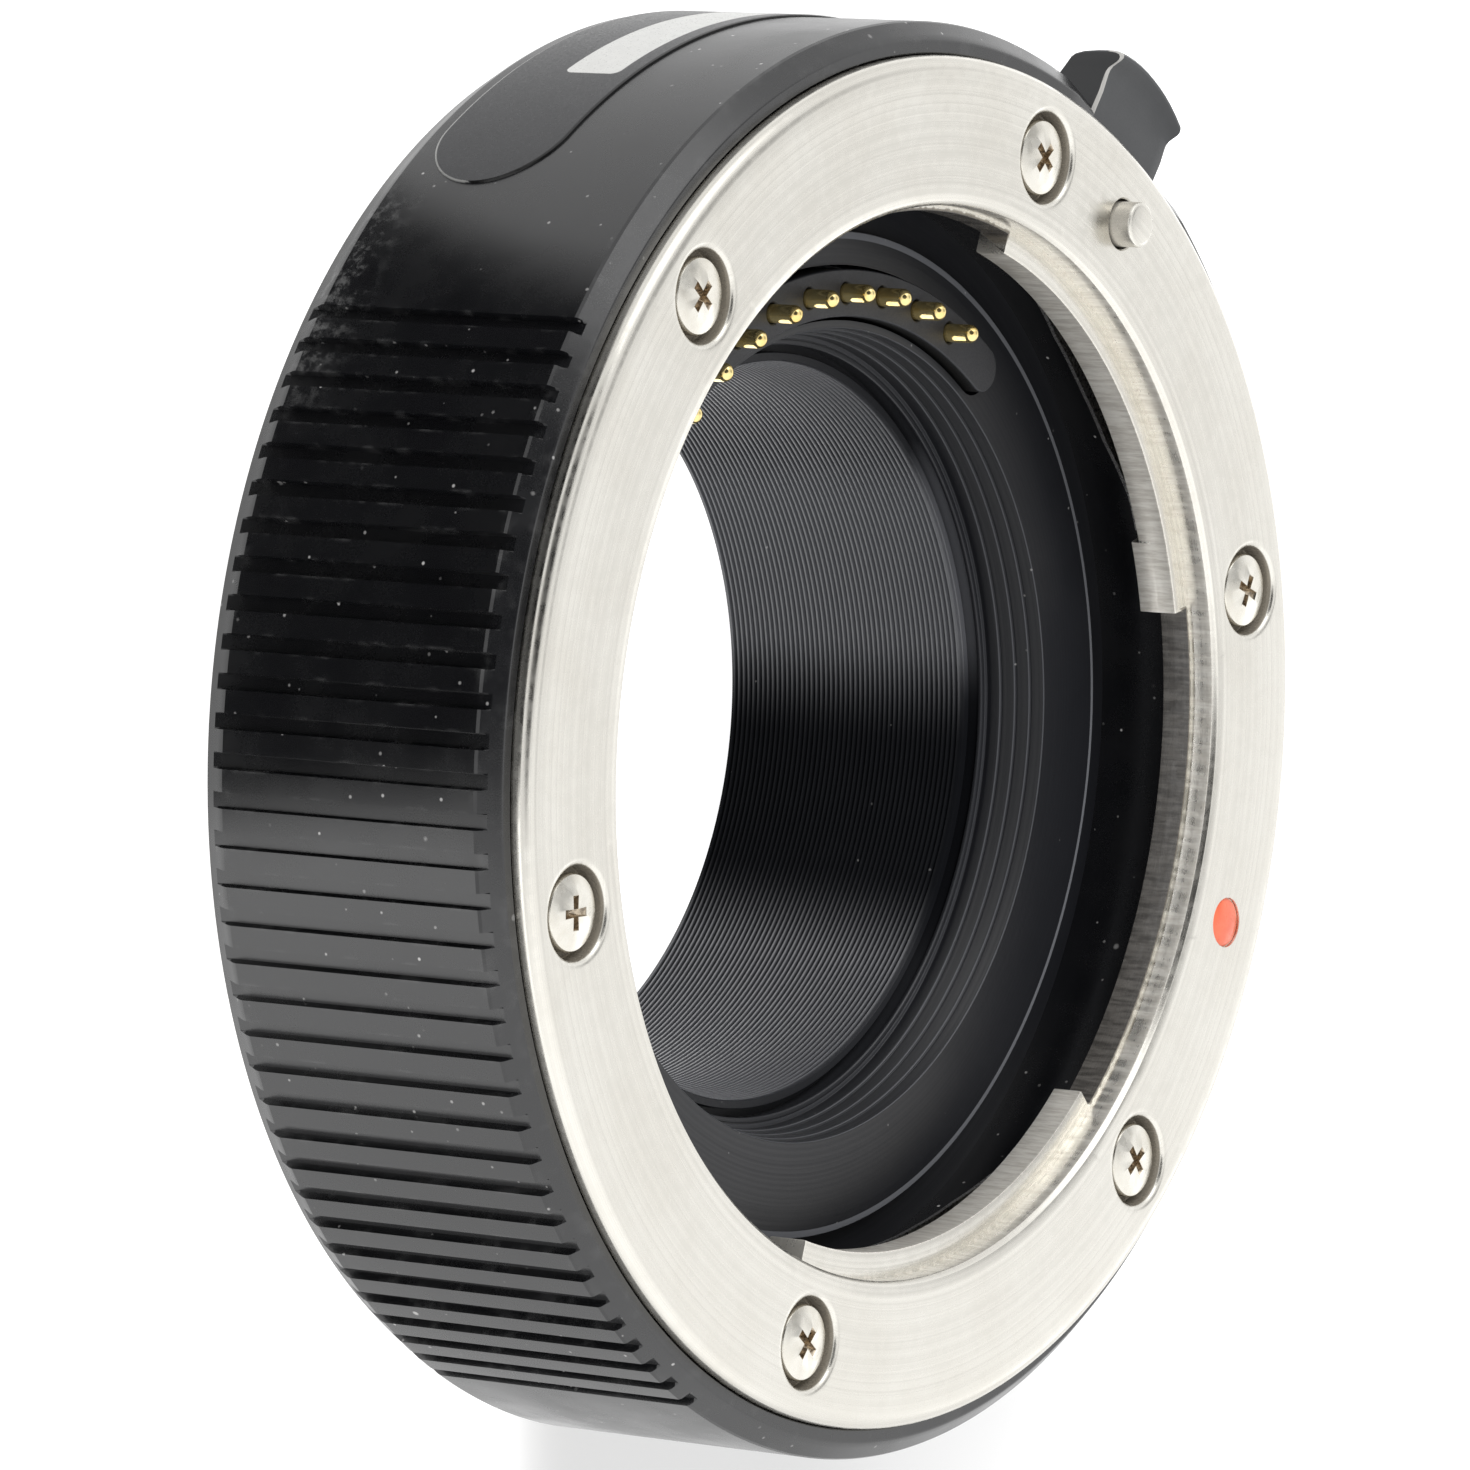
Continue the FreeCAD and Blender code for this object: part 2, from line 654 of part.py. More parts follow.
# Leaf springs behind the lugs, bowed away from them
for number in range(int(value("lug_count"))):
    leaf = new_body("bayonet_spring_%d" % (number + 1))
    sketch = new_sketch(leaf, "YZ_Plane")
    level = drop(LUG_LOW)
    half = [(LEAF_HALF, "0"), (LEAF_HALF + " - leaf_foot", "0"), ("leaf_knee_half", "-leaf_knee_bow"),
            ("leaf_crest_half", "-leaf_bow")]
    shape = [("-(%s)" % a, b) for a, b in half] + half[::-1]
    upper = [(a, "%s + (%s)" % (level, b)) for a, b in shape]
    lower = [(a, "%s + (%s) - leaf_thick" % (level, b)) for a, b in reversed(shape)]
    outline(sketch, upper + lower)
    pad(leaf, sketch, LEAF_OUT)
    sketch = new_sketch(leaf, "XY_Plane")
    round_hole(sketch, "0", "0", LEAF_IN)
    pocket(leaf, sketch, FRONT)
    sketch = new_sketch(leaf, "XY_Plane")
    round_hole(sketch, "0", "0", LEAF_OUT)
    round_hole(sketch, "0", "0", LEAF_OUT + " + " + LEAF_HALF)
    pocket(leaf, sketch, FRONT)
    turn_to(leaf, "lug_turn + %d * 360 / lug_count" % number)

# Release lever: arm under the ring, tab through the notch, lip at the tip
lever = new_body("release_lever")
sketch = new_sketch(lever, "XZ_Plane")
outline(sketch, [
    (ARM_START, drop(ARM_LOW)),
    (ARM_START, drop(ARM_TOP)),
    (TAB_ROOT, drop(ARM_TOP)),
    (TAB_ROOT, drop("tab_drop")),
    (REACH + " - lip_back", drop("tab_drop")),
    (REACH + " - lip_foot", drop("tab_drop - lip_foot_rise")),
    (REACH + " - lip_width", drop("tab_drop - lip_rise")),
    (REACH + " - tip_round", drop("tab_drop - lip_rise + tip_round")),
    (REACH, drop("tab_drop")),
    (REACH + " - tip_round", drop("tab_drop + tip_depth - tip_back_rise")),
    (REACH + " - tip_back_width", drop("tab_drop + tip_depth")),
    ("barrel_radius + tab_under", drop(ARM_LOW + " + tab_hang")),
    ("barrel_radius + lever_clear", drop(ARM_LOW)),
])
pad(lever, sketch, "lever_width", midplane=True)
for sign in ("", "-"):
    sketch = new_sketch(lever, "XY_Plane")
    outline(sketch, [
        (REACH + " + tip_round", sign + "tip_flat_half"),
        (REACH + " - tip_shoulder_back", sign + "tip_shoulder_half"),
        (REACH + " - tip_corner_back", sign + "lever_width / 2"),
        (REACH + " - tip_corner_back", sign + "lever_width"),
        (REACH + " + tip_corner_back", sign + "lever_width"),
        (REACH + " + tip_corner_back", sign + "tip_flat_half"),
    ])
    pocket(lever, sketch, FRONT)
sketch = new_sketch(lever, "XY_Plane")
round_hole(sketch, SCREW_CIRCLE, "0", "pin_radius")
pocket(lever, sketch, FRONT)
turn_to(lever, "lock_angle")

# Lock pin, pressed into the lever's arm
pin = new_body("lock_pin")
sketch = new_sketch(pin, "XZ_Plane")
outline(sketch, [
    ("0", "total_height + pin_stand"),
    ("pin_radius - pin_bevel", "total_height + pin_stand"),
    ("pin_radius", "total_height + pin_stand - pin_bevel"),
    ("pin_radius", drop(ARM_LOW)),
    ("stem_radius", drop(ARM_LOW)),
    ("stem_radius", drop(ARM_LOW + " + stem_length")),
    ("0", drop(ARM_LOW + " + stem_length")),
])
spin(pin, sketch)
move_to(pin, polar(SCREW_CIRCLE, "lock_angle"))
coil("lock_pin_spring", polar(SCREW_CIRCLE, "lock_angle"), "lock_spring_radius", "lock_spring_wire",
     "lock_spring_turns", drop(SHELF_DROP), drop(ARM_LOW), sides=8)

# Floor ring with its concentric steps and the kidney opening for the contacts
steps = [(HUB_RIM, drop(HUB_DROP)), (HUB_RIM, drop(RIM_DROP))]
step_total = int(value("step_count"))
for i in range(step_total):
    wide = STEP_IN + " + step_width * %d" % i
    steps.append((wide, drop(RIM_DROP + " - step_height * %d" % i)))
    last = i == step_total - 1
    steps.append((wide, drop(FLOOR_DROP) if last else drop(RIM_DROP + " - step_height * %d" % (i + 1))))
floor_ring = turned("floor_ring", steps + [
    (FLOOR_OUT + " - floor_bevel", drop(FLOOR_DROP)),
    (FLOOR_OUT, drop(FLOOR_DROP + " + floor_bevel")),
    (FLOOR_OUT, drop(SHELF_DROP)),
    (FLOOR_FLANGE, drop(SHELF_DROP)),
    (FLOOR_FLANGE, drop(BLOCK_SEAT)),
    (HUB, drop(BLOCK_SEAT)),
    (HUB, drop(HUB_DROP)),
])


def kidney(body, low, high, grow, cut):
    """Kidney about the contact circle: a sector with round ends, added or cut between two levels."""
    sketch = new_sketch(body, "XZ_Plane", None, "contact_angle")
    box(sketch, KIDNEY_IN + " + " + grow, KIDNEY_OUT + " - " + grow, low, high)
    spin(body, sketch, "2 * " + KIDNEY_HALF, cut)
    sketch = new_sketch(body, "XY_Plane", low)
    for sign in ("-", "+"):
        spot = polar(CONTACTS, "(contact_angle %s %s)" % (sign, KIDNEY_HALF))
        round_hole(sketch, *spot, "kidney_half_width - " + grow)
    if cut:
        pocket(body, sketch, "(%s) - (%s)" % (high, low))
    else:
        pad(body, sketch, "(%s) - (%s)" % (high, low))


kidney(floor_ring, drop(BLOCK_SEAT), drop(FLOOR_DROP), "0", True)
sketch = new_sketch(floor_ring, "XY_Plane", drop(BLOCK_SEAT), "floor_screw_angle")
round_hole(sketch, FLOOR_SCREWS, "0", "shank_radius + pass_clear")
hole = pocket(floor_ring, sketch, "flange_thick")
around(floor_ring, [hole], "floor_screw_count")
sketch = new_sketch(floor_ring, "XY_Plane", drop(BLOCK_SEAT), SMALL_FIRST)
round_hole(sketch, SMALL_SCREWS, "0", "small_shank_radius + shank_clear")
hole = pocket(floor_ring, sketch, "small_tap_depth")
around(floor_ring, [hole], "small_screw_count", SMALL_SPAN)
screws("floor_ring_screws", FLOOR_SCREWS, "floor_screw_angle", "floor_screw_count", None, drop(BLOCK_SEAT),
       ("head_radius", "head_height"), ("shank_radius", "floor_shank_length"), False, cross)

# Contact block under the floor ring, its kidney standing in the opening
block = new_body("contact_block")
sketch = new_sketch(block, "XZ_Plane", None, "contact_angle")
box(sketch, BLOCK_IN, BLOCK_OUT, drop(BLOCK_LOW), drop(BLOCK_SEAT))
spin(block, sketch, BLOCK_SPAN)
kidney(block, drop(BLOCK_SEAT), drop(BLOCK_TOP), "kidney_clear", False)
sketch = new_sketch(block, "XY_Plane", drop(BLOCK_LOW), FIRST_CONTACT)
round_hole(sketch, CONTACTS, "0", "contact_radius + contact_clear")
narrow = pocket(block, sketch, "total_height")
sketch = new_sketch(block, "XY_Plane", drop(BLOCK_LOW), FIRST_CONTACT)
round_hole(sketch, CONTACTS, "0", CONTACT_FLANGE + " + contact_clear")
wide = pocket(block, sketch, BLOCK_LOW + " - " + COLLAR_TOP)
around(block, [narrow, wide], "contact_count", CONTACT_SPAN)
sketch = new_sketch(block, "XY_Plane", drop(BLOCK_LOW), SMALL_FIRST)
round_hole(sketch, SMALL_SCREWS, "0", "small_shank_radius + small_pass_clear")
hole = pocket(block, sketch, "block_flange_thick")
around(block, [hole], "small_screw_count", SMALL_SPAN)

# Contact board, on which the contact springs stand
board = new_body("contact_board")
sketch = new_sketch(board, "XZ_Plane", None, "contact_angle")
box(sketch, BLOCK_IN, BLOCK_OUT, drop(BOARD_LOW), drop(BLOCK_LOW))
spin(board, sketch, BLOCK_SPAN)
sketch = new_sketch(board, "XY_Plane", drop(BOARD_LOW), SMALL_FIRST)
round_hole(sketch, SMALL_SCREWS, "0", "small_shank_radius + small_pass_clear")
hole = pocket(board, sketch, "board_thick")
around(board, [hole], "small_screw_count", SMALL_SPAN)
screws("contact_screws", SMALL_SCREWS, SMALL_FIRST, "small_screw_count", SMALL_SPAN,
       drop(BOARD_LOW), ("small_head_radius", "small_head_height"),
       ("small_shank_radius", "small_shank_length"), False, small_cross)

# Contact pins with their springs
for number in range(int(value("contact_count"))):
    spot = polar(CONTACTS, "(%s + contact_pitch * %d)" % (FIRST_CONTACT, number))
    pin = new_body("contact_pin_%02d" % (number + 1))
    sketch = new_sketch(pin, "XZ_Plane")
    outline(sketch, [
        ("0", drop(TIP)),
        ("contact_radius * 0.45", drop(TIP + " + contact_radius * 0.1")),
        ("contact_radius * 0.82", drop(TIP + " + contact_radius * 0.42")),
        ("contact_radius", drop(TIP + " + contact_radius * 0.9")),
        ("contact_radius", drop(COLLAR_TOP)),
        (CONTACT_FLANGE, drop(COLLAR_TOP)),
        (CONTACT_FLANGE, drop(COLLAR_LOW)),
        ("0", drop(COLLAR_LOW)),
    ])
    spin(pin, sketch)
    move_to(pin, spot)
    coil("contact_spring_%02d" % (number + 1), spot, "spring_coil_radius", "spring_wire", "spring_turns",
         drop(BLOCK_LOW), drop(COLLAR_LOW))

# Baffle tube, clamped between the floor ring's hub and the rear contact block
turned("inner_baffle", [
    (BAFFLE_REAR, "baffle_rear_gap"),
    (BAFFLE_OUT, "baffle_rear_gap"),
    (BAFFLE_OUT, REAR_BLOCK),
    (COLLAR, REAR_BLOCK),
    (COLLAR, REAR_BLOCK + " + collar_height"),
    (BAFFLE_OUT, REAR_BLOCK + " + collar_height"),
    (BAFFLE_OUT, drop(HUB_DROP + " + baffle_flange_thick")),
    (HUB, drop(HUB_DROP + " + baffle_flange_thick")),
    (HUB, drop(HUB_DROP)),
    (GAP_OUT, drop(HUB_DROP)),
    (GAP_OUT, drop(MOUTH_DROP + " + mouth_gap_depth")),
    (MOUTH_OUT, drop(MOUTH_DROP + " + mouth_gap_depth")),
    (MOUTH_OUT, drop(MOUTH_DROP)),
    (BAFFLE_IN, drop(MOUTH_DROP)),
])

# Rear bayonet ring: flange, spigot, lugs and bosses for the rear contact block
rear_ring = turned("rear_mount_ring", [
    (BORE_LOW, "0"),
    (NOSE, "0"),
    (NOSE, "rear_lug_height"),
    (SPIGOT, "rear_lug_height"),
    (SPIGOT, REAR),
    (REAR_RING, REAR),
    (REAR_RING, REAR + " + rear_thick"),
    (BORE_HIGH, REAR + " + rear_thick"),
    (BORE_HIGH, REAR_BLOCK),
    (BORE_LOW, REAR_BLOCK),
])
sketch = new_sketch(rear_ring, "XZ_Plane", None, "lug_turn")
box(sketch, NOSE, REAR_LUG, "rear_lug_height", "rear_lug_height + rear_lug_thick")
lug = spin(rear_ring, sketch, "rear_lug_span")
sketch = new_sketch(rear_ring, "XY_Plane", REAR_BLOCK, "lug_turn")
round_hole(sketch, BOSS_CIRCLE, "0", "boss_radius")
boss = pad(rear_ring, sketch, "boss_height")
sketch = new_sketch(rear_ring, "XY_Plane", REAR_BLOCK, "lug_turn")
round_hole(sketch, BOSS_CIRCLE, "0", "small_shank_radius + shank_clear")
hole = pocket(rear_ring, sketch, "boss_height - boss_end_wall")
around(rear_ring, [lug, boss, hole], "lug_count")
sketch = new_sketch(rear_ring, "XY_Plane", REAR, "rear_screw_angle")
round_hole(sketch, SCREW_CIRCLE, "0", "sink_radius")
sink = pocket(rear_ring, sketch, "rear_head_drop + head_height")
sketch = new_sketch(rear_ring, "XY_Plane", REAR, "rear_screw_angle")
round_hole(sketch, SCREW_CIRCLE, "0", "shank_radius + pass_clear")
hole = pocket(rear_ring, sketch, "rear_thick")
around(rear_ring, [sink, hole], "rear_screw_count")
holes(rear_ring, REAR, "rear_thick", SCREW_CIRCLE, "lock_angle", "pin_radius + lock_hole_clear")
screws("rear_mount_screws", SCREW_CIRCLE, "rear_screw_angle", "rear_screw_count", None,
       REAR + " + rear_head_drop + head_height", ("head_radius", "head_height"),
       ("shank_radius", "rear_shank_length"), False, cross)

# Rear contact block with a recess for the pads
rear_block = turned("rear_contact_block", [
    (BAFFLE_OUT + " + seat_clear", "rear_block_gap"),
    (BORE_LOW + " - seat_clear", "rear_block_gap"),
    (BORE_LOW + " - seat_clear", REAR_BLOCK),
    (BAFFLE_OUT + " + seat_clear", REAR_BLOCK),
])
sketch = new_sketch(rear_block, "XZ_Plane", None, "contact_angle")
recess = "(pad_radius + pad_clear)"
box(sketch, CONTACTS + " - " + recess, CONTACTS + " + " + recess, "rear_block_gap", PAD_PLANE)
spin(rear_block, sketch, CONTACT_SPAN + " + 2 * pad_end_span", True)
sketch = new_sketch(rear_block, "XY_Plane", PAD_PLANE, FIRST_CONTACT)
round_hole(sketch, CONTACTS, "0", "pad_radius")
hole = pocket(rear_block, sketch, "pad_thick")
around(rear_block, [hole], "contact_count", CONTACT_SPAN)
sketch = new_sketch(rear_block, "XY_Plane", "rear_block_gap", "lug_turn")
round_hole(sketch, BOSS_CIRCLE, "0", "small_head_radius + small_head_clear")
sink = pocket(rear_block, sketch, "small_head_height + small_head_clear")
sketch = new_sketch(rear_block, "XY_Plane", "rear_block_gap", "lug_turn")
round_hole(sketch, BOSS_CIRCLE, "0", "small_shank_radius + small_pass_clear")
hole = pocket(rear_block, sketch, "rear_block_thick")
around(rear_block, [sink, hole], "lug_count")
screws("rear_block_screws", BOSS_CIRCLE, "lug_turn", "lug_count", None,
       "rear_block_gap + small_head_clear + small_head_height", ("small_head_radius", "small_head_height"),
       ("small_shank_radius", "rear_small_length"), False, small_cross)

# Rear contact pads
pads = new_body("rear_contact_pads", group=True)
sketch = new_sketch(pads, "XY_Plane", PAD_PLANE + " - pad_stand", FIRST_CONTACT)
round_hole(sketch, CONTACTS, "0", "pad_radius")
one = pad(pads, sketch, "pad_thick + pad_stand")
around(pads, [one], "contact_count", CONTACT_SPAN)

# Flexible ribbon from the board down to the rear contact block
flex = new_body("contact_flex")
sketch = new_sketch(flex, "XZ_Plane", None, "contact_angle")
box(sketch, FLEX_IN, FLEX_IN + " + flex_thick", REAR_BLOCK, drop(BOARD_LOW))
spin(flex, sketch, "flex_span")

# Label: thin oblong laid on the barrel's top
label = new_body("label")
sketch = new_sketch(label, "XZ_Plane")
flat = "(label_length / 2 - label_width / 2)"
middle = drop(LABEL_DROP)
box(sketch, "-" + flat, flat, middle + " - label_width / 2", middle + " + label_width / 2")
body_pad = pad(label, sketch, "barrel_radius + label_width")
body_pad.Reversed = True
for sign in ("-", ""):
    sketch = new_sketch(label, "XZ_Plane")
    round_hole(sketch, sign + flat, middle, "label_width / 2")
    end_pad = pad(label, sketch, "barrel_radius + label_width")
    end_pad.Reversed = True
doc.recompute()
sketch = new_sketch(label, "XY_Plane")
round_hole(sketch, "0", "0", "barrel_radius")
pocket(label, sketch, FRONT)
sketch = new_sketch(label, "XY_Plane")
round_hole(sketch, "0", "0", "barrel_radius + label_thick")
round_hole(sketch, "0", "0", "barrel_radius + label_length")
pocket(label, sketch, FRONT)

doc.recompute()

# Stop on anything broken, then write one file per node
bad = []
for obj in doc.Objects:
    if "Invalid" in obj.State or "Error" in obj.State:
        bad.append("%s %s" % (obj.Label, obj.State))
for label_text, obj in nodes.items():
    if obj.Shape.isNull() or not obj.Shape.isValid() or not obj.Shape.Solids:
        bad.append("%s has no valid solid" % label_text)
if bad:
    raise RuntimeError("; ".join(bad))
os.makedirs("parts", exist_ok=True)
for label_text, obj in nodes.items():
    obj.Shape.exportStep("parts/%s.step" % label_text)
    print(label_text, len(obj.Shape.Solids), round(obj.Shape.Volume, 2))
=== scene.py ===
import json
import math
import bpy
import bmesh
import numpy as np
from mathutils import Matrix


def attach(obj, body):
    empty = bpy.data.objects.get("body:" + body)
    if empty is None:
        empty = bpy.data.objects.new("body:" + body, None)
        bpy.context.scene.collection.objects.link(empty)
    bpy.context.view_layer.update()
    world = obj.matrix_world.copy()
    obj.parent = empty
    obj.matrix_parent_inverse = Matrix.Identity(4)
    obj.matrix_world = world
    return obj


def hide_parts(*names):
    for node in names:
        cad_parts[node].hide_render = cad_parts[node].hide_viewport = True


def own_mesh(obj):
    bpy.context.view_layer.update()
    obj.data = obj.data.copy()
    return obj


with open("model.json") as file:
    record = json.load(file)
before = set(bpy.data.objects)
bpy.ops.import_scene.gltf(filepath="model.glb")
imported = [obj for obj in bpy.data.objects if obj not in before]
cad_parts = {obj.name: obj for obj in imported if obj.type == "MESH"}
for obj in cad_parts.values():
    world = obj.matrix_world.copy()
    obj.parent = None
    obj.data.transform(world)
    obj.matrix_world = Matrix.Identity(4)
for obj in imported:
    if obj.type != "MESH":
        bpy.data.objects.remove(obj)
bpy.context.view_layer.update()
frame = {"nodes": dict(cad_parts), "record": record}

# Sizes in millimetres, as in the part's source; heights from the rear end, angles in degrees
MM = 0.001
FRONT = 21.3
REAR = 5.3
BARREL_R = 31.0
RING_BACK = 18.7
SHELF = 14.8
POCKET_FLOOR = 14.82
SCREW_CIRCLE = 26.4
SMALL_SCREW_CIRCLE = 19.0
DOT_CIRCLE = 26.3
DOT_ANGLE = -33.0
LOCK_ANGLE = 45.0
LEVER_LOW = 17.35
CONTACT_CIRCLE = 19.2
CONTACT_MIDDLE = 90.0
CONTACT_PITCH = 8.4
CONTACT_ANGLES = CONTACT_MIDDLE + CONTACT_PITCH * (np.arange(10) - 4.5)
CONTACT_SPAN = 5 * CONTACT_PITCH
COLLAR_TOP = 14.73
COLLAR_LOW = 14.43
BLOCK_SEAT = 13.9
BLOCK_LOW = 13.1
KIDNEY_HALF = 47.5

# Angle between neighbouring columns of the turned pieces, and how close two points are one
STEP = 0.5
ROUND = np.arange(0.0, 360.0, STEP)
SAME_PLACE = 1.5e-6


# Grids and meshes

class Surface:
    """Patches of one piece in millimetres, each point with its mark for worn edges, dirt and painted light,
    before they become one mesh.
    """

    def __init__(self):
        self.points = []
        self.faces = []
        self.wear_and_painted_light = []
        self.count = 0

    def grid(self, points, wrap_u=False, wrap_v=False, wear_and_painted_light=0.0):
        """Cells between neighbouring points of a two-parameter grid, joined end to start where wrapped."""
        nu, nv = points.shape[:2]
        u, v = np.meshgrid(np.arange(nu - (not wrap_u)), np.arange(nv - (not wrap_v)), indexing="ij")
        far_u = (u + 1) % nu
        far_v = (v + 1) % nv
        cells = np.stack([u * nv + v, far_u * nv + v, far_u * nv + far_v, u * nv + far_v], -1)
        self.faces += (cells.reshape(-1, 4) + self.count).tolist()
        self.points.append(points.reshape(-1, 3))
        self.wear_and_painted_light.append(np.broadcast_to(wear_and_painted_light, (nu, nv)).reshape(-1).astype(float))
        self.count += nu * nv
        return self

    def cap(self, ring, wear_and_painted_light=0.0):
        """One flat face through a ring of points."""
        self.faces.append(list(range(self.count, self.count + len(ring))))
        self.points.append(np.asarray(ring, float))
        self.wear_and_painted_light.append(np.full(len(ring), wear_and_painted_light))
        self.count += len(ring)
        return self


def piece(name, surface, slot, node, body="housing", sharp=32.0):
    """Mesh piece from a surface: doubles merged, normals outwards, edges past the angle kept crisp."""
    mesh = bpy.data.meshes.new(name)
    mesh.from_pydata((np.concatenate(surface.points) * MM).tolist(), [], surface.faces)
    mesh.attributes.new("wear_and_painted_light", "FLOAT", "POINT").data.foreach_set("value", np.concatenate(surface.wear_and_painted_light))
    bm = bmesh.new()
    bm.from_mesh(mesh)
    bmesh.ops.remove_doubles(bm, verts=bm.verts, dist=SAME_PLACE)
    bmesh.ops.recalc_face_normals(bm, faces=bm.faces)
    bm.to_mesh(mesh)
    bm.free()
    mesh.shade_smooth()
    mesh.set_sharp_from_angle(angle=math.radians(sharp))
    mesh.materials.append(FINISH[slot])
    made = bpy.data.objects.new(name, mesh)
    bpy.context.scene.collection.objects.link(made)
    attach(made, body)
    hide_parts(node)
    return made


def turn(profile, degrees, centre=(0.0, 0.0)):
    """Profile of radius and height carried round an axis: x = r cos a, y = r sin a, shifted to a centre."""
    r, z = np.asarray(profile, float).T
    a = np.radians(np.asarray(degrees, float))[:, None]
    return np.stack([centre[0] + r * np.cos(a), centre[1] + r * np.sin(a), z + 0 * a], -1)


def sector(z, radii, degrees):
    """Flat stretch of a ring at one height: radii carried over angles."""
    return turn([(r, z) for r in radii], degrees)


def polar(radius, degrees):
    """Point on a circle about the axis."""
    return radius * math.cos(math.radians(degrees)), radius * math.sin(math.radians(degrees))


def at_height(flat, z):
    """Flat points raised to one height."""
    return np.concatenate([flat, np.full((len(flat), 1), z)], 1)


def quarter(r0, z0, r1, z1, count=6):
    """Rounded corner from one point of a profile to another along a quarter of an ellipse."""
    t = np.linspace(0.0, math.pi / 2, count)
    return list(zip(r0 + (r1 - r0) * np.sin(t), z1 + (z0 - z1) * np.cos(t)))


class Spot:
    """Round hole in a ring face: its place and the sector of the face that is meshed round it."""

    def __init__(self, angle, circle, half, inner, outer, rows=10, step=STEP):
        self.angle = angle
        self.half = half
        self.rows = rows
        self.step = step
        self.centre = np.array(polar(circle, angle))
        way = self.outline(inner, outer) - self.centre
        self.way = way / np.linalg.norm(way, axis=1)[:, None]

    def outline(self, inner, outer):
        """Edge of the sector: inner arc, side, outer arc, side, with no corner twice."""
        arc = np.arange(self.angle - self.half, self.angle + self.half - self.step / 2, self.step)
        across = np.linspace(inner, outer, self.rows + 1)
        a = np.concatenate([arc, np.full(self.rows, self.angle + self.half), arc[::-1] + self.step,
                            np.full(self.rows, self.angle - self.half)])
        r = np.concatenate([np.full(len(arc), inner), across[:-1], np.full(len(arc), outer), across[:0:-1]])
        return np.stack([r * np.cos(np.radians(a)), r * np.sin(np.radians(a))], -1)

    def ring(self, radius, z):
        """Points of a circle about the hole's centre, in the directions of the sector's edge points."""
        return at_height(self.centre + radius * self.way, z)

    def rings(self, profile):
        """Wall of the hole: one ring of points for each radius and height of a profile."""
        return np.stack([self.ring(r, z) for r, z in profile], 1)


def holed_face(surface, z, inner, outer, spots, radii, rows=10):
    """Flat ring face at one height: plain sectors, and round each hole a blend from circle to sector."""
    across = np.linspace(inner, outer, rows + 1)
    edges = sorted((spot.angle - spot.half, spot.angle + spot.half) for spot in spots)
    ends = [low for low, _ in edges[1:]] + [edges[0][0] + 360.0]
    for (_, start), end in zip(edges, ends):
        surface.grid(sector(z, across, np.arange(start, end + STEP / 2, STEP)))
    share = np.linspace(0.0, 1.0, 5)[None, :, None] ** 1.5
    for spot, radius in zip(spots, radii):
        edge = at_height(spot.outline(inner, outer), z)[:, None, :]
        hole = spot.ring(radius, z)[:, None, :]
        surface.grid(hole + share * (edge - hole), wrap_u=True)


def cross_outline(arm, half_width, turned, count):
    """Twelve-cornered cross about the origin, walked at even steps and turned by an angle."""
    a, w = arm, half_width
    e = 1.15 * w
    corner = np.array([(a, -e), (a, e), (w, w), (e, a), (-e, a), (-w, w), (-a, e), (-a, -e), (-w, -w),
                       (-e, -a), (e, -a), (w, -w), (a, -e)])
    at = np.linspace(0.0, 12.0, count, endpoint=False)
    x = np.interp(at, np.arange(13), corner[:, 0])
    y = np.interp(at, np.arange(13), corner[:, 1])
    c, s = polar(1.0, turned)
    return np.stack([x * c - y * s, x * s + y * c], -1)


def screw(surface, centre, top, turned, head, shank, cross, up=1.0):
    """Cross-recess screw as rings from the recess floor over a slightly domed head to the shank's end."""
    radius, height = head
    shank_radius, shank_length = shank
    arm, half_width, depth = cross
    count = 96
    a = np.radians(np.linspace(0.0, 360.0, count, endpoint=False) + turned - 8.0)
    disc = np.stack([np.cos(a), np.sin(a)], -1)
    outline = cross_outline(arm, half_width, turned, count)
    brim = outline * 1.05
    dome = 0.12 * radius
    end = -height - shank_length
    rows = [(outline * 0.0, -depth * 1.25), (outline * 0.55, -depth), (outline * 0.9, -depth * 0.55),
            (outline, -0.03), (brim, 0.0), (0.6 * brim + 0.24 * radius * disc, -0.06 * dome)]
    rows += [(disc * radius * k, -dome * k ** 2.2) for k in (0.66, 0.76, 0.85, 0.92, 0.96)]
    rows += [(disc * radius * 0.98, -dome - 0.03), (disc * radius, -dome - 0.09), (disc * radius, -height)]
    rows += [(disc * shank_radius, -height), (disc * shank_radius, end), (disc * 0.0, end)]
    points = np.stack([at_height(xy + np.array(centre), top + up * z) for xy, z in rows], 1)
    recess = [1.0] * 4 + [0.3] + [0.0] * (len(rows) - 5)
    return surface.grid(points, wrap_u=True, wear_and_painted_light=recess)


# Finishes

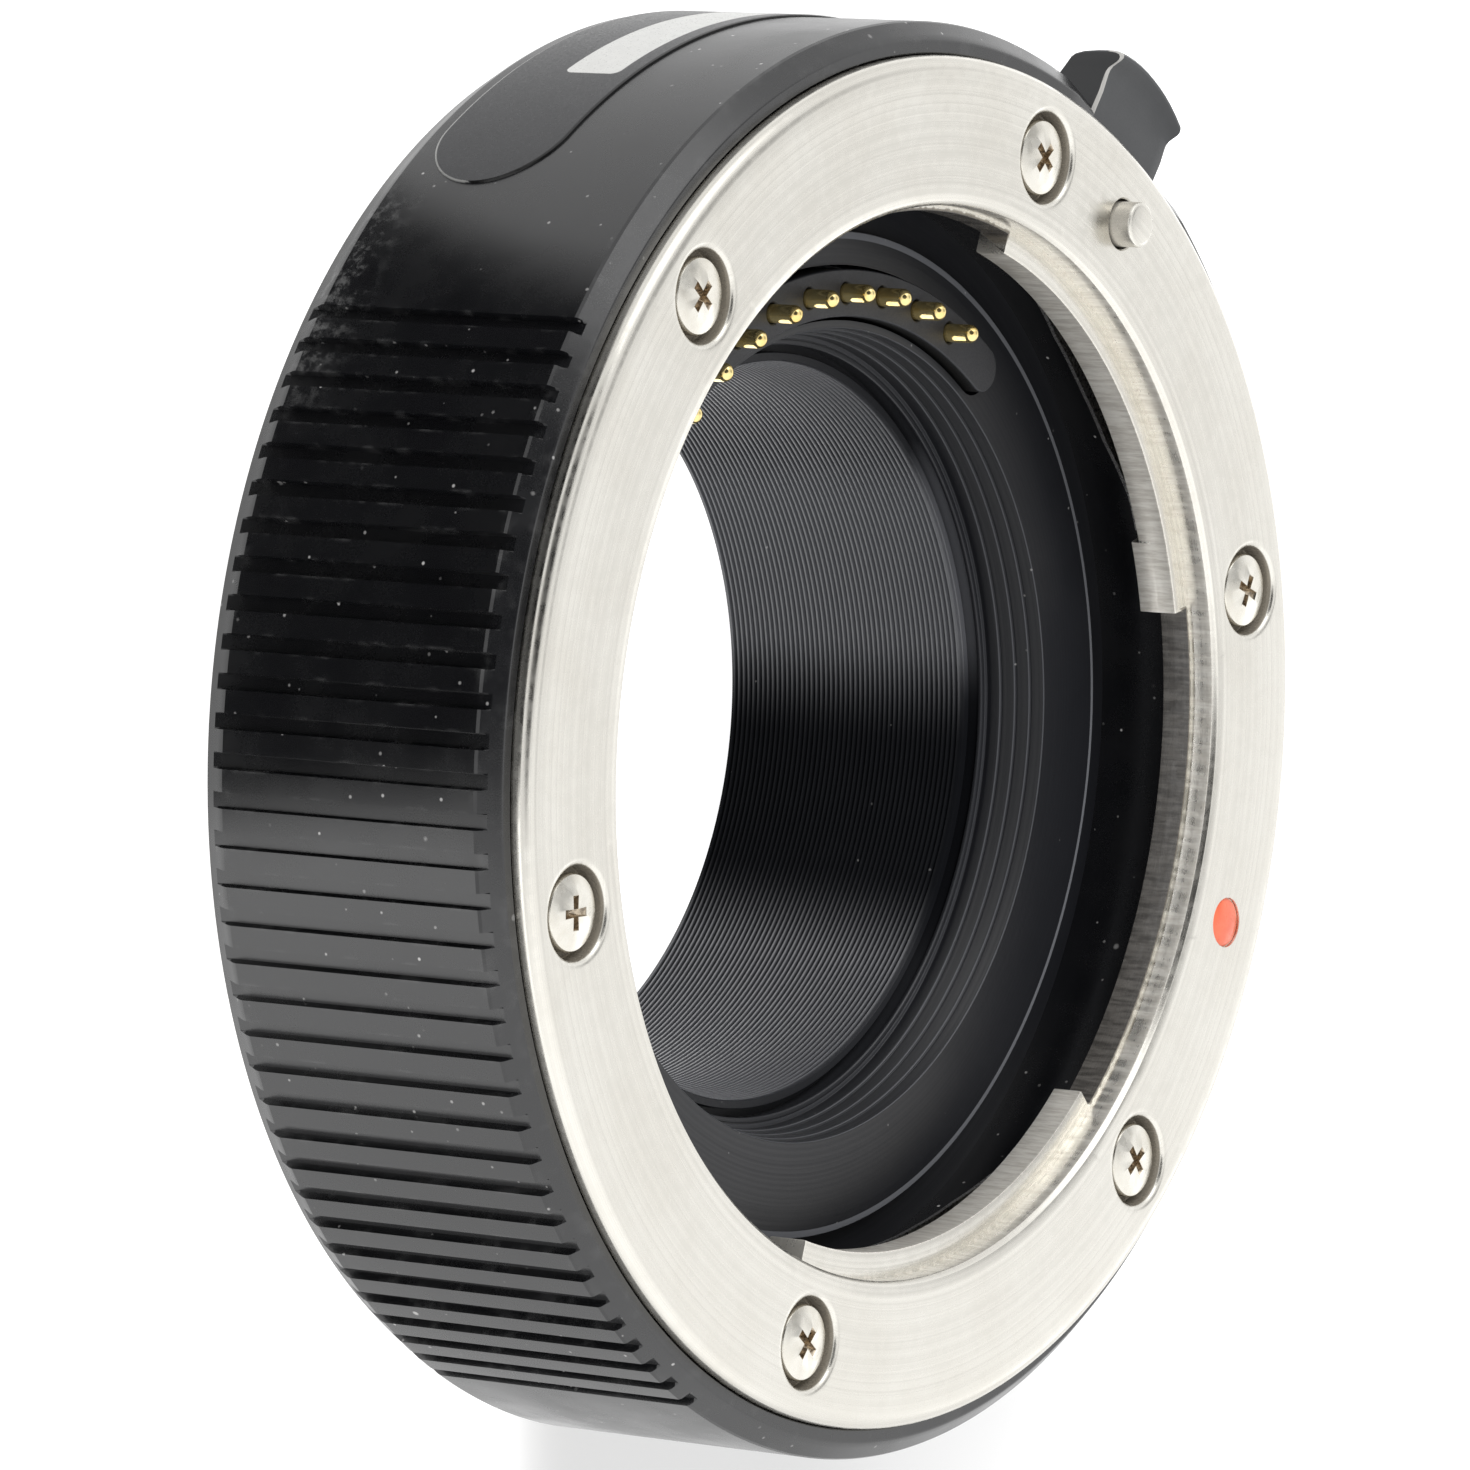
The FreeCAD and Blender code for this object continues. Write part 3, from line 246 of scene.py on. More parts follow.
class Nodes:
    """Node tree under construction, with short ways to add nodes."""

    def __init__(self, tree):
        self.tree = tree

    def join(self, number, socket):
        """Input fed by another node's output, or set to a number, a vector or a colour."""
        if isinstance(number, bpy.types.NodeSocket):
            self.tree.links.new(number, socket)
        else:
            socket.default_value = number

    def add(self, kind, settings=None, **feeds):
        """New node with its settings. A feed names an input, or gives its number after an underscore."""
        node = self.tree.nodes.new("ShaderNode" + kind)
        for key, setting in (settings or {}).items():
            setattr(node, key, setting)
        for key, number in feeds.items():
            self.join(number, node.inputs[int(key[1:]) if key[0] == "_" else key.replace("_", " ")])
        return node

    def sum(self, operation, a, b=0.0, clamp=False):
        """One step of arithmetic."""
        return self.add("Math", {"operation": operation, "use_clamp": clamp}, _0=a, _1=b).outputs[0]

    def times(self, a, b, clamp=False):
        """Product of two numbers."""
        return self.sum("MULTIPLY", a, b, clamp)

    def between(self, share, a, b):
        """Number between two others by a share."""
        return self.sum("ADD", self.times(b, share), self.times(a, self.sum("SUBTRACT", 1.0, share)))

    def vector(self, operation, a, b=(0.0, 0.0, 0.0)):
        """One step with vectors, which gives a vector, or a number for a dot product or a length."""
        node = self.add("VectorMath", {"operation": operation}, _0=a, _1=b)
        return node.outputs["Value" if operation in ("DOT_PRODUCT", "LENGTH") else "Vector"]

    def span(self, number, low, high, to_low=0.0, to_high=1.0):
        """Number moved smoothly from one range to another and held there."""
        return self.add("MapRange", {"interpolation_type": "SMOOTHSTEP"}, Value=number, From_Min=low,
                        From_Max=high, To_Min=to_low, To_Max=to_high).outputs["Result"]

    def mix(self, share, a, b):
        """One shader or the other by a share."""
        return self.add("MixShader", None, Fac=share, _1=a, _2=b).outputs[0]


class Finish(Nodes):
    """Material under construction: its shader and its coordinates in millimetres."""

    def __init__(self, name, metal=0.0, specular=0.5, coat=0.0, coat_rough=0.1):
        self.made = bpy.data.materials.new(name)
        self.made.use_nodes = True
        super().__init__(self.made.node_tree)
        self.shader = self.tree.nodes["Principled BSDF"]
        for socket, number in (("Metallic", metal), ("Specular IOR Level", specular), ("Coat Weight", coat),
                               ("Coat Roughness", coat_rough)):
            self.feed(socket, number)
        place = self.add("TexCoord").outputs["Object"]
        scaled = self.add("VectorMath", {"operation": "SCALE"}, Vector=place, Scale=1.0 / MM)
        self.mm = scaled.outputs["Vector"]

    def feed(self, socket, number):
        """Drive one input of the shader."""
        self.join(number, self.shader.inputs[socket])

    def colour(self, colour):
        """Drive the shader's colour."""
        self.feed("Base Color", colour)

    def rough(self, number, low, high):
        """Drive the shader's roughness between two levels by the middle of a cloudy number."""
        self.feed("Roughness", self.span(number, 0.3, 0.7, low, high))

    def noise(self, scale, detail=3.0, rough=0.55, at=None):
        """Cloudy number between nought and one, in cells per millimetre."""
        at = self.mm if at is None else at
        noise = self.add("TexNoise", None, Vector=at, Scale=scale, Detail=detail, Roughness=rough)
        return noise.outputs["Fac"]

    def blend(self, share, a, b):
        """Colour between two others."""
        node = self.add("Mix", {"data_type": "RGBA"}, Factor=share)
        for socket, colour in ((node.inputs[6], a), (node.inputs[7], b)):
            self.join((*colour, 1.0) if isinstance(colour, tuple) else colour, socket)
        return node.outputs[2]

    def wear_and_painted_light(self):
        """Number that the mesh carries: one at worn edges and in the screws' recesses, elsewhere a mark for
        painted highlight, sheen and shade.
        """
        return self.add("Attribute", {"attribute_name": "wear_and_painted_light"}).outputs["Fac"]

    def above(self):
        """Share of wear above nought."""
        return self.times(self.wear_and_painted_light(), 1.0, clamp=True)

    def below(self):
        """Share of wear below nought."""
        return self.times(self.wear_and_painted_light(), -1.0, clamp=True)

    def axes(self):
        """Single coordinates in millimetres and the distance from the tube's axis."""
        parts = self.add("SeparateXYZ", None, Vector=self.mm)
        away = self.vector("LENGTH", self.vector("MULTIPLY", self.mm, (1.0, 1.0, 0.0)))
        return parts.outputs["X"], parts.outputs["Y"], parts.outputs["Z"], away

    def toward(self, degrees):
        """Cosine of the angle round the axis between a point and a direction."""
        way = self.vector("NORMALIZE", self.vector("MULTIPLY", self.mm, (1.0, 1.0, 0.0)))
        return self.vector("DOT_PRODUCT", way, (*polar(1.0, degrees), 0.0))

    def lines(self, u, per_u, v, per_v, detail, rough):
        """Noise stretched into fine lines: so many cells to each unit of two numbers."""
        at = self.add("CombineXYZ", None, X=self.times(u, per_u), Y=self.times(v, per_v))
        return self.noise(1.0, detail, rough, at.outputs["Vector"])

    def specks(self, cell, size, share):
        """Small bright specks: near the middle of a chosen share of scattered cells."""
        cells = self.add("TexVoronoi", None, Vector=self.mm, Scale=1.0 / cell)
        near = self.span(cells.outputs["Distance"], size * 0.4 / cell, size / cell, 1.0, 0.0)
        pick = self.add("SeparateColor", None, Color=cells.outputs["Color"])
        chosen = self.sum("GREATER_THAN", pick.outputs[0], 1.0 - share)
        return self.times(near, self.times(chosen, pick.outputs[1]))

    def bump(self, height, strength, distance):
        """Fine relief from a number, in millimetres."""
        node = self.add("Bump", None, Strength=strength, Distance=distance * MM, Height=height)
        self.feed("Normal", node.outputs["Normal"])


def black_anodised():
    """Satin black anodising: fine grain, patchy gloss, faintly worn edges, scattered dust."""
    f = Finish("black_anodised", specular=0.9)
    patch = f.noise(0.25, 4.0)
    grain = f.noise(14.0, 2.0)
    base = f.blend(f.span(patch, 0.35, 0.7), (0.0052, 0.0054, 0.0064), (0.0072, 0.0074, 0.0084))
    scuff = f.times(f.wear_and_painted_light(), f.span(f.noise(0.9, 4.0), 0.5, 0.7))
    base = f.blend(f.times(scuff, 0.2), base, (0.14, 0.14, 0.14))
    _, _, z, _ = f.axes()
    near = f.vector("DOT_PRODUCT", f.mm, (*polar(1.0 / BARREL_R, 129.0), 0.0))
    rubbed = f.times(f.span(near, 0.975, 0.996), f.span(z, 6.6, 9.6, 1.0, 0.0))
    rubbed = f.times(rubbed, f.span(f.noise(1.5, 5.0, 0.7), 0.47, 0.68))
    base = f.blend(f.times(rubbed, 0.7), base, (0.13, 0.13, 0.13))
    dust = f.sum("MAXIMUM", f.specks(1.0, 0.1, 0.85), f.specks(2.7, 0.18, 0.6))
    f.colour(f.blend(f.times(dust, 0.8), base, (0.62, 0.61, 0.6)))
    f.feed("Roughness", f.span(f.sum("ADD", patch, f.times(grain, 0.25)), 0.4, 0.95, 0.22, 0.33))
    f.bump(grain, 0.10, 0.02)
    return f.made


def mount_steel():
    """Turned steel: rings of fine lathe lines on the faces and faint stains. wear_and_painted_light above
    nought is painted shade, darker, browner and duller, on the counterbores' walls and the lock pin's side,
    past one a bare dark wall, and below nought a brushed wall with lines along the axis."""
    f = Finish("mount_steel")
    x, y, z, away = f.axes()
    lines = f.lines(away, 9.0, z, 5.0, 3.0, 0.65)
    brush = f.lines(f.sum("ARCTAN2", y, x), 110.0, z, 0.5, 4.0, 0.7)
    smear = f.noise(1.6, 3.0)
    base = f.blend(f.span(f.noise(0.22, 5.0), 0.3, 0.75), (0.84, 0.82, 0.76), (0.79, 0.765, 0.70))
    base = f.blend(f.span(lines, 0.35, 0.75, 0.0, 0.5), base, (0.66, 0.64, 0.59))
    wall = f.below()
    streak = f.span(brush, 0.35, 0.65)
    base = f.blend(wall, base, f.blend(streak, (0.72, 0.68, 0.61), (0.98, 0.95, 0.88)))
    # Painted shade: darker, browner, duller steel where wear_and_painted_light is above nought, on the
    # counterbores' walls and the lock pin's side
    base = f.blend(f.span(f.wear_and_painted_light(), 0.3, 0.95), base, (0.27, 0.245, 0.205))
    bare = f.blend(streak, (0.055, 0.051, 0.046), (0.14, 0.131, 0.12))
    f.colour(f.blend(f.span(f.wear_and_painted_light(), 1.0, 1.6), base, bare))
    dull = f.sum("MAXIMUM", f.times(f.wear_and_painted_light(), 0.6), f.times(wall, 0.45))
    f.feed("Metallic", f.sum("SUBTRACT", 1.0, dull, clamp=True))
    rough = f.span(f.sum("ADD", f.times(lines, 0.5), f.times(smear, 0.5)), 0.35, 0.68, 0.20, 0.36)
    f.feed("Roughness", f.sum("ADD", rough, f.times(wall, 0.08)))
    f.bump(f.times(lines, f.sum("SUBTRACT", 1.0, wall)), 0.16, 0.014)
    return f.made


def screw_steel():
    """Plain bright steel, grained, with a brownish tint and dirt in the cross recess."""
    f = Finish("screw_steel", metal=1.0)
    base = f.blend(f.span(f.noise(1.1, 4.0), 0.35, 0.7), (0.91, 0.885, 0.81), (0.84, 0.805, 0.72))
    dirt = f.blend(f.span(f.noise(6.0, 3.0), 0.35, 0.65), (0.24, 0.19, 0.14), (0.60, 0.50, 0.37))
    f.colour(f.blend(f.span(f.wear_and_painted_light(), 0.1, 0.9, 0.0, 0.9), base, dirt))
    f.rough(f.noise(2.0, 3.0), 0.2, 0.32)
    f.bump(f.noise(9.0, 2.0), 0.03, 0.01)
    return f.made


def spring_steel():
    """Drawn spring steel with faint cloudy stains."""
    f = Finish("spring_steel", metal=1.0)
    f.colour(f.blend(f.noise(3.0, 3.0), (0.62, 0.61, 0.59), (0.42, 0.41, 0.40)))
    f.rough(f.noise(6.0, 2.0), 0.22, 0.4)
    return f.made


def lever_black():
    """Dark grey satin lacquer, grained, rubbed bright where fingers rub it and along the tab's front edge,
    with painted shade, near black, on the tab's side faces.
    """
    f = Finish("lever_black")
    grain = f.noise(10.0, 3.0)
    rubbed = f.span(f.sum("ADD", f.wear_and_painted_light(), f.times(f.noise(2.2, 4.0), 0.4)), 0.75, 0.95)
    base = f.blend(f.noise(0.8, 4.0), (0.034, 0.0355, 0.038), (0.05, 0.052, 0.055))
    base = f.blend(f.times(f.specks(1.5, 0.07, 0.15), 0.6), base, (0.55, 0.54, 0.53))
    # Painted shade: near black where wear_and_painted_light is below nought, on the tab's side faces
    base = f.blend(f.below(), base, (0.008, 0.0085, 0.0095))
    f.colour(f.blend(rubbed, base, (0.50, 0.49, 0.47)))
    f.feed("Metallic", f.times(rubbed, 0.5))
    f.feed("Roughness", f.span(grain, 0.3, 0.75, 0.32, 0.46))
    f.bump(grain, 0.12, 0.02)
    return f.made


def floor_black():
    """Matt black anodising of the floor ring, with faint turning rings, dust and painted highlight lines
    along its edges.
    """
    f = Finish("floor_black")
    x, _, z, away = f.axes()
    lines = f.lines(away, 7.0, z, 7.0, 2.0, 0.6)
    base = f.blend(f.noise(0.35, 4.0), (0.008, 0.0085, 0.0105), (0.012, 0.0125, 0.015))
    # Painted highlight: lighter grey lines where wear_and_painted_light is above nought, along the rim and
    # the steps' edges
    base = f.blend(f.wear_and_painted_light(), base, (0.36, 0.37, 0.40))
    dust = f.sum("MAXIMUM", f.specks(1.1, 0.075, 0.35), f.specks(3.1, 0.13, 0.3))
    f.colour(f.blend(f.times(dust, 0.6), base, (0.6, 0.59, 0.58)))
    right = f.sum("DIVIDE", x, f.sum("MAXIMUM", away, 1.0))
    f.feed("Specular IOR Level", f.span(right, 0.5, 0.97, 0.5, 0.22))
    f.rough(lines, 0.36, 0.5)
    f.bump(f.sum("ADD", lines, f.noise(16.0, 2.0)), 0.08, 0.015)
    return f.made


def baffle_black():
    """Black of the threaded baffle wall with painted sheen by the angle round the axis: dull towards the far
    side, with crests beside it lighter and glossier.
    """
    f = Finish("baffle_black")
    # Painted sheen: the crests' colour and gloss rise and fall with the angle round the axis, and a band near
    # 12 degrees is lightened like a crest along its whole length
    sheen = f.span(f.toward(-28.5), 0.885, 0.985, 1.0, 0.03)
    ridge = f.sum("MAXIMUM", f.wear_and_painted_light(), f.span(f.toward(12.0), 0.9, 0.99, 0.0, 0.93))
    f.feed("Specular IOR Level", f.times(sheen, f.span(ridge, 0.0, 1.0, 0.15, 0.65)))
    base = f.blend(f.noise(0.5, 4.0), (0.0045, 0.0048, 0.006), (0.0075, 0.008, 0.0095))
    base = f.blend(f.times(ridge, sheen), base, (0.085, 0.087, 0.096))
    f.colour(f.blend(f.times(f.specks(1.3, 0.08, 0.3), 0.6), base, (0.55, 0.54, 0.53)))
    f.rough(f.noise(7.0, 2.0), 0.30, 0.44)
    return f.made


def contact_plastic():
    """Moulded matt black plastic with a fine grain, with a painted highlight along the kidney's top edge and
    painted shade, near black, on its wall in the gap round it.
    """
    f = Finish("contact_plastic")
    grain = f.noise(18.0, 2.0)
    base = f.blend(f.noise(0.6, 3.0), (0.015, 0.0155, 0.018), (0.021, 0.0215, 0.025))
    base = f.blend(f.times(f.specks(1.1, 0.07, 0.3), 0.5), base, (0.55, 0.54, 0.53))
    # Painted highlight above nought and painted shade, near black, below nought
    base = f.blend(f.above(), base, (0.05, 0.052, 0.058))
    f.colour(f.blend(f.below(), base, (0.001, 0.001, 0.001)))
    f.rough(grain, 0.42, 0.6)
    f.bump(grain, 0.15, 0.02)
    return f.made


def contact_gold():
    """Gold plate, slightly tarnished in patches."""
    f = Finish("contact_gold", metal=0.93)
    f.colour(f.blend(f.span(f.noise(1.4, 3.0), 0.35, 0.7), (1.0, 0.83, 0.40), (0.97, 0.72, 0.26)))
    f.rough(f.noise(3.0, 2.0), 0.10, 0.17)
    return f.made


def board_green():
    """Dark green circuit board under clear lacquer, with faint copper runs."""
    f = Finish("board_green", coat=0.4)
    stretched = f.vector("MULTIPLY", f.mm, (1.0, 0.2, 1.0))
    runs = f.span(f.noise(1.2, 0.0, 0.0, stretched), 0.48, 0.52)
    f.colour(f.blend(runs, (0.022, 0.06, 0.035), (0.04, 0.10, 0.055)))
    f.rough(f.noise(5.0, 2.0), 0.28, 0.42)
    return f.made


def flex_amber():
    """Amber film of the flexible ribbon with copper lines running down it."""
    f = Finish("flex_amber", coat=0.3)
    x, _, _, _ = f.axes()
    lines = f.span(f.sum("SINE", f.times(x, 12.0)), 0.0, 0.3)
    f.colour(f.blend(lines, (0.40, 0.19, 0.04), (0.55, 0.27, 0.10)))
    f.rough(f.noise(4.0, 2.0), 0.24, 0.38)
    return f.made


def label_black():
    """Thin black film with a pale blank field of rounded corners, fine grain and a few specks."""
    field_half, field_middle, field_rise = 5.75, 11.43, 0.97
    f = Finish("label_black")
    x, _, z, _ = f.axes()
    up = f.sum("SUBTRACT", z, field_middle)
    over_x = f.sum("MAXIMUM", f.sum("SUBTRACT", f.sum("ABSOLUTE", x), field_half), 0.0)
    over_z = f.sum("MAXIMUM", f.sum("SUBTRACT", f.sum("ABSOLUTE", up), field_rise), 0.0)
    out = f.sum("SQRT", f.sum("ADD", f.sum("POWER", over_x, 2.0), f.sum("POWER", over_z, 2.0)))
    grain = f.noise(9.0, 3.0)
    base = f.blend(f.noise(0.7, 4.0), (0.016, 0.0165, 0.0185), (0.026, 0.0265, 0.029))
    base = f.blend(f.times(f.specks(1.7, 0.07, 0.14), 0.6), base, (0.6, 0.59, 0.58))
    pale = f.blend(f.noise(2.0, 4.0), (0.66, 0.66, 0.64), (0.54, 0.54, 0.525))
    # Painted highlight along the film's rear edge and painted shadow, near black, along its front edge
    base = f.blend(f.above(), base, (0.3, 0.3, 0.29))
    base = f.blend(f.below(), base, (0.002, 0.002, 0.002))
    f.colour(f.blend(f.span(out, 0.38, 0.44, 1.0, 0.0), base, pale))
    f.rough(grain, 0.26, 0.4)
    f.bump(grain, 0.08, 0.01)
    return f.made


def dot_orange():
    """Orange-red enamel, slightly uneven."""
    f = Finish("dot_orange", coat=0.7, coat_rough=0.09)
    f.colour(f.blend(f.span(f.noise(1.5, 4.0), 0.3, 0.7), (0.90, 0.16, 0.06), (0.80, 0.12, 0.04)))
    f.rough(f.noise(6.0, 2.0), 0.26, 0.42)
    f.bump(f.noise(5.0, 2.0), 0.1, 0.01)
    return f.made


FINISH = {
    "black_anodised": black_anodised(), "mount_steel": mount_steel(), "screw_steel": screw_steel(),
    "spring_steel": spring_steel(), "lever_black": lever_black(), "floor_black": floor_black(),
    "baffle_black": baffle_black(), "contact_plastic": contact_plastic(), "contact_gold": contact_gold(),
    "board": board_green(), "flex": flex_amber(), "label_black": label_black(), "dot_orange": dot_orange(),
}

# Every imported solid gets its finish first; the pieces below take the place of most of them
for part in frame["record"]["subparts"]:
    solid = frame["nodes"][part["node"]]
    solid.data.materials.clear()
    solid.data.materials.append(FINISH[part["material_slot"]])


# Barrel

def barrel():
    """Closed profile of the shell carried round the axis. Outer points sink to the groove floor inside a
    groove, and in the lever's notch points of the front rim sink to the notch floor, some of them on to the
    spring's pocket, so that the steps between columns form the walls of grooves, notch and pocket."""
    groove_floor = BARREL_R - 0.36
    groove_pitch = 3.05
    notch_floor = FRONT - 5.5
    notch_start = 24.75
    pocket_in, pocket_out = 25.0, 27.8
    sliver = 0.001
    front_edge, rear_edge, rear_slope = 19.7, 6.7, 1.25 / 0.7
    bevel = [30.45, groove_floor, 30.8, 30.94]
    outer = [(29.62, 20.44), (29.68, 20.5), (30.14, 20.5), (30.2, 20.48)]
    outer += [(r, front_edge + BARREL_R - r) for r in [30.26] + bevel]
    outer += [(BARREL_R, z) for z in (19.62, 19.3, 16.0, 12.0, 9.0, 7.1, 6.78)]
    outer += [(r, rear_edge - rear_slope * (BARREL_R - r)) for r in bevel[::-1] + [30.34]]
    outer += [(30.28, 5.47), (30.2, 5.45)]
    inner = [(29.55, 5.45), (29.55, 7.1), (25.0, 7.1), (25.0, 9.3), (29.0, 9.3), (29.0, SHELF), (23.9, SHELF)]
    inner += [(r, RING_BACK) for r in (23.9, notch_start - sliver, notch_start, pocket_in, pocket_in + sliver,
                                       pocket_out, pocket_out + sliver, 29.62)]
    rows = np.array(outer + inner)
    r, z = rows.T
    outside = np.arange(len(rows)) < len(outer)

    # Columns round the barrel: angle, whether in a groove, wear of the groove's edges
    half = math.degrees(math.asin(0.31 / BARREL_R))
    starts = np.concatenate([180.0 + groove_pitch * np.arange(-16, 17),
                             -48.8 + groove_pitch * np.arange(23)])
    rise = np.array([(-half - 0.32, 0, 0.0), (-half - 0.07, 0, 1.0), (-half + 0.03, 1, 0.6),
                     (-half + 0.2, 1, 0.0)])
    shape = np.concatenate([rise, rise[::-1] * (-1, 1, 1)])
    grooves = np.broadcast_to(shape, (len(starts),) + shape.shape).copy()
    grooves[..., 0] = (starts[:, None] + shape[:, 0]) % 360.0
    plain = np.arange(0.0, 360.0, 1.0)
    near = np.abs((plain[:, None] - starts[None, :] + 180.0) % 360.0 - 180.0).min(1)
    plain = plain[(near > 1.2) & (np.abs(plain - LOCK_ANGLE) > 9.0)]
    columns = np.concatenate([grooves.reshape(-1, 3), np.stack([plain, 0 * plain, 0 * plain], -1)])
    columns = columns[np.argsort((columns[:, 0] - LOCK_ANGLE) % 360.0)]

    # The notch has columns of its own, side by side across the lever
    side = np.array([-3.25, -3.25, -1.4, -1.399, 0.0, 1.399, 1.4, 3.25, 3.25])
    sunk = np.array([0, 1, 1, 1, 1, 1, 1, 1, 0], bool)
    deep = np.abs(side) < 1.4
    elsewhere = np.zeros(len(columns), bool)
    in_notch = np.concatenate([elsewhere, sunk])[:, None]
    in_pocket = np.concatenate([elsewhere, deep])[:, None]
    corner = np.concatenate([elsewhere, ~sunk])[:, None]
    grooved = np.concatenate([columns[:, 1], 0 * side])[:, None] > 0
    a = np.radians(np.concatenate([np.broadcast_to(columns[:, :1], (len(columns), len(r))),
                                   LOCK_ANGLE + np.degrees(np.arcsin(side[:, None] / r[None, :]))]))
    rr = np.where(grooved & outside & (r > groove_floor), groove_floor, r)
    zz = np.where(in_notch & (r >= notch_start) & (z > notch_floor), notch_floor, z)
    zz = np.where(in_pocket & (r > pocket_in) & (r <= pocket_out) & (z == RING_BACK), POCKET_FLOOR, zz)
    zz = zz - 0.35 * (corner & outside & (z > 19.0))
    points = np.stack([rr * np.cos(a), rr * np.sin(a), zz], -1)
    rim = np.interp(z, [5.0, 5.6, 6.0, 6.5, 6.75, 7.2, 19.3, 19.65, 20.1, 20.4, 20.6],
                    [0.6, 0.5, 0.1, 0.1, 0.8, 0.0, 0.0, 0.7, 0.0, 0.5, 0.6])
    edge = np.concatenate([columns[:, 2], 0 * side])[:, None] * (r > groove_floor)
    surface = Surface().grid(points, wrap_u=True, wrap_v=True, wear_and_painted_light=np.maximum(edge, rim) * outside)
    piece("barrel_shell", surface, "black_anodised", "barrel", sharp=15.0)


# Front bayonet ring

def front_ring():
    """Face with holes, rounded outer edge, bevelled throat, ledge and three lugs with stop blocks: every
    stretch of angle has its own profile, and where two meet the difference is closed by a flat end."""
    inner, outer, rim = 23.37, 28.92, 29.57
    throat, ledge, lug_top = 23.15, 22.9, 20.05
    stop_span, lug_span, pitch = 8.5, 60.0, 120.0
    seats = [Spot(a, SCREW_CIRCLE, 6.0, inner, outer) for a in range(0, 360, 60)]
    pin = Spot(LOCK_ANGLE, SCREW_CIRCLE, 4.0, inner, outer)
    dot = Spot(DOT_ANGLE, DOT_CIRCLE, 4.0, inner, outer)
    surface = Surface()
    holed_face(surface, FRONT, inner, outer, seats + [pin, dot], [2.26] * 6 + [1.18, 1.13])
    holed_face(surface, RING_BACK, throat, rim, seats + [pin], [0.95] * 6 + [1.12])
    counterbore = [(2.26, FRONT), (2.2, 21.292), (2.12, 21.26), (2.04, 21.2), (2.0, 21.13), (2.0, 20.3),
                   (1.95, 20.25), (0.95, 20.25), (0.95, RING_BACK)]
    for seat in seats:
        # Painted shade: the counterbores' walls darker and browner from just below the chamfer down
        surface.grid(seat.rings(counterbore), wrap_u=True, wear_and_painted_light=[0, 0, 0, 0.2, 0.9, 1, 1, 1, 1])
    surface.grid(pin.rings([(1.18, FRONT), (1.12, 21.24), (1.12, RING_BACK)]), wrap_u=True)
    surface.grid(dot.rings([(1.13, FRONT), (1.12, 21.28), (1.12, 21.14)]), wrap_u=True)
    surface.cap(dot.ring(1.12, 21.14))
    surface.grid(turn(quarter(outer, FRONT, rim, 20.8, 8) + [(rim, RING_BACK)], ROUND), wrap_u=True)
    mouth = [(inner, FRONT), (23.335, 21.285), (23.17, 21.11), (throat, 21.07), (throat, lug_top)]
    surface.grid(turn(mouth, ROUND), wrap_u=True, wear_and_painted_light=[0, 0, -0.2, -0.8, -0.8])
    bare = [(throat, lug_top), (ledge, lug_top), (ledge, RING_BACK), (throat, RING_BACK)]
    top = [(throat, lug_top), (ledge, lug_top), (22.09, lug_top), (22.02, 20.03), (22.0, 19.96)]
    back = [(throat, 18.6), (throat, RING_BACK)]
    lug = top + [(22.0, 18.69), (22.02, 18.62), (22.09, 18.6), (ledge, 18.6)] + back
    stop = top + [(22.0, 18.29), (22.02, 18.22), (22.09, 18.2), (ledge, 18.2), (ledge, 18.6)] + back
    for start in (0.0, pitch, 2 * pitch):
        for profile, a, b in ((stop, 0.0, stop_span), (lug, stop_span, lug_span), (bare, lug_span, pitch)):
            wear_and_painted_light = [-1.0 * (r < 22.05) + 1.6 * (r == ledge and profile is bare) for r, z in profile]
            surface.grid(turn(profile, np.arange(start + a, start + b + 0.1, STEP)), wear_and_painted_light=wear_and_painted_light)
        surface.cap(turn(stop[1:] + [(ledge, RING_BACK)], [start])[0], -0.7)
        surface.cap(turn(lug[1:] + [(ledge, RING_BACK)], [start + lug_span])[0], -0.7)
        surface.cap(turn(stop[5:10] + lug[7:4:-1], [start + stop_span])[0])
    piece("front_bayonet_ring", surface, "mount_steel", "front_mount_ring")


def front_screws():
    """Six screws, each with its cross turned another way."""
    surface = Surface()
    for a, turned in zip(range(0, 360, 60), (54.0, 30.0, 36.0, 80.0, 36.0, 26.0)):
        screw(surface, polar(SCREW_CIRCLE, a), 21.19, turned, (1.65, 0.9), (0.8, 4.4), (0.7, 0.16, 0.34))
    piece("front_ring_screws", surface, "screw_steel", "front_mount_screws")


def index_dots():
    """Front dot as a low disc with a rounded edge, rear dot the same on the barrel's side."""
    profile = [(0.0, 21.27), (0.35, 21.264), (0.65, 21.246), (0.88, 21.22), (1.02, 21.196), (1.08, 21.175),
               (1.1, 21.142), (0.0, 21.142)]
    degrees = np.arange(0, 360, 6)
    surface = Surface().grid(turn(profile, degrees, polar(DOT_CIRCLE, DOT_ANGLE)), wrap_u=True)
    piece("front_dot", surface, "dot_orange", "front_index_dot")
    height, angle = 8.5, 27.0
    wide = np.array([0.0, 0.6, 0.82, 0.9, 0.9, 0.0])
    out = np.array([30.92, 30.915, 30.89, 30.82, 30.68, 30.68])
    a = np.radians(degrees)[:, None]
    c, s = polar(1.0, angle)
    along = wide * np.cos(a)
    points = np.stack([c * out - s * along, s * out + c * along, height + wide * np.sin(a)], -1)
    piece("rear_dot", Surface().grid(points, wrap_u=True), "dot_orange", "rear_index_dot")


# Lock pin and release lever

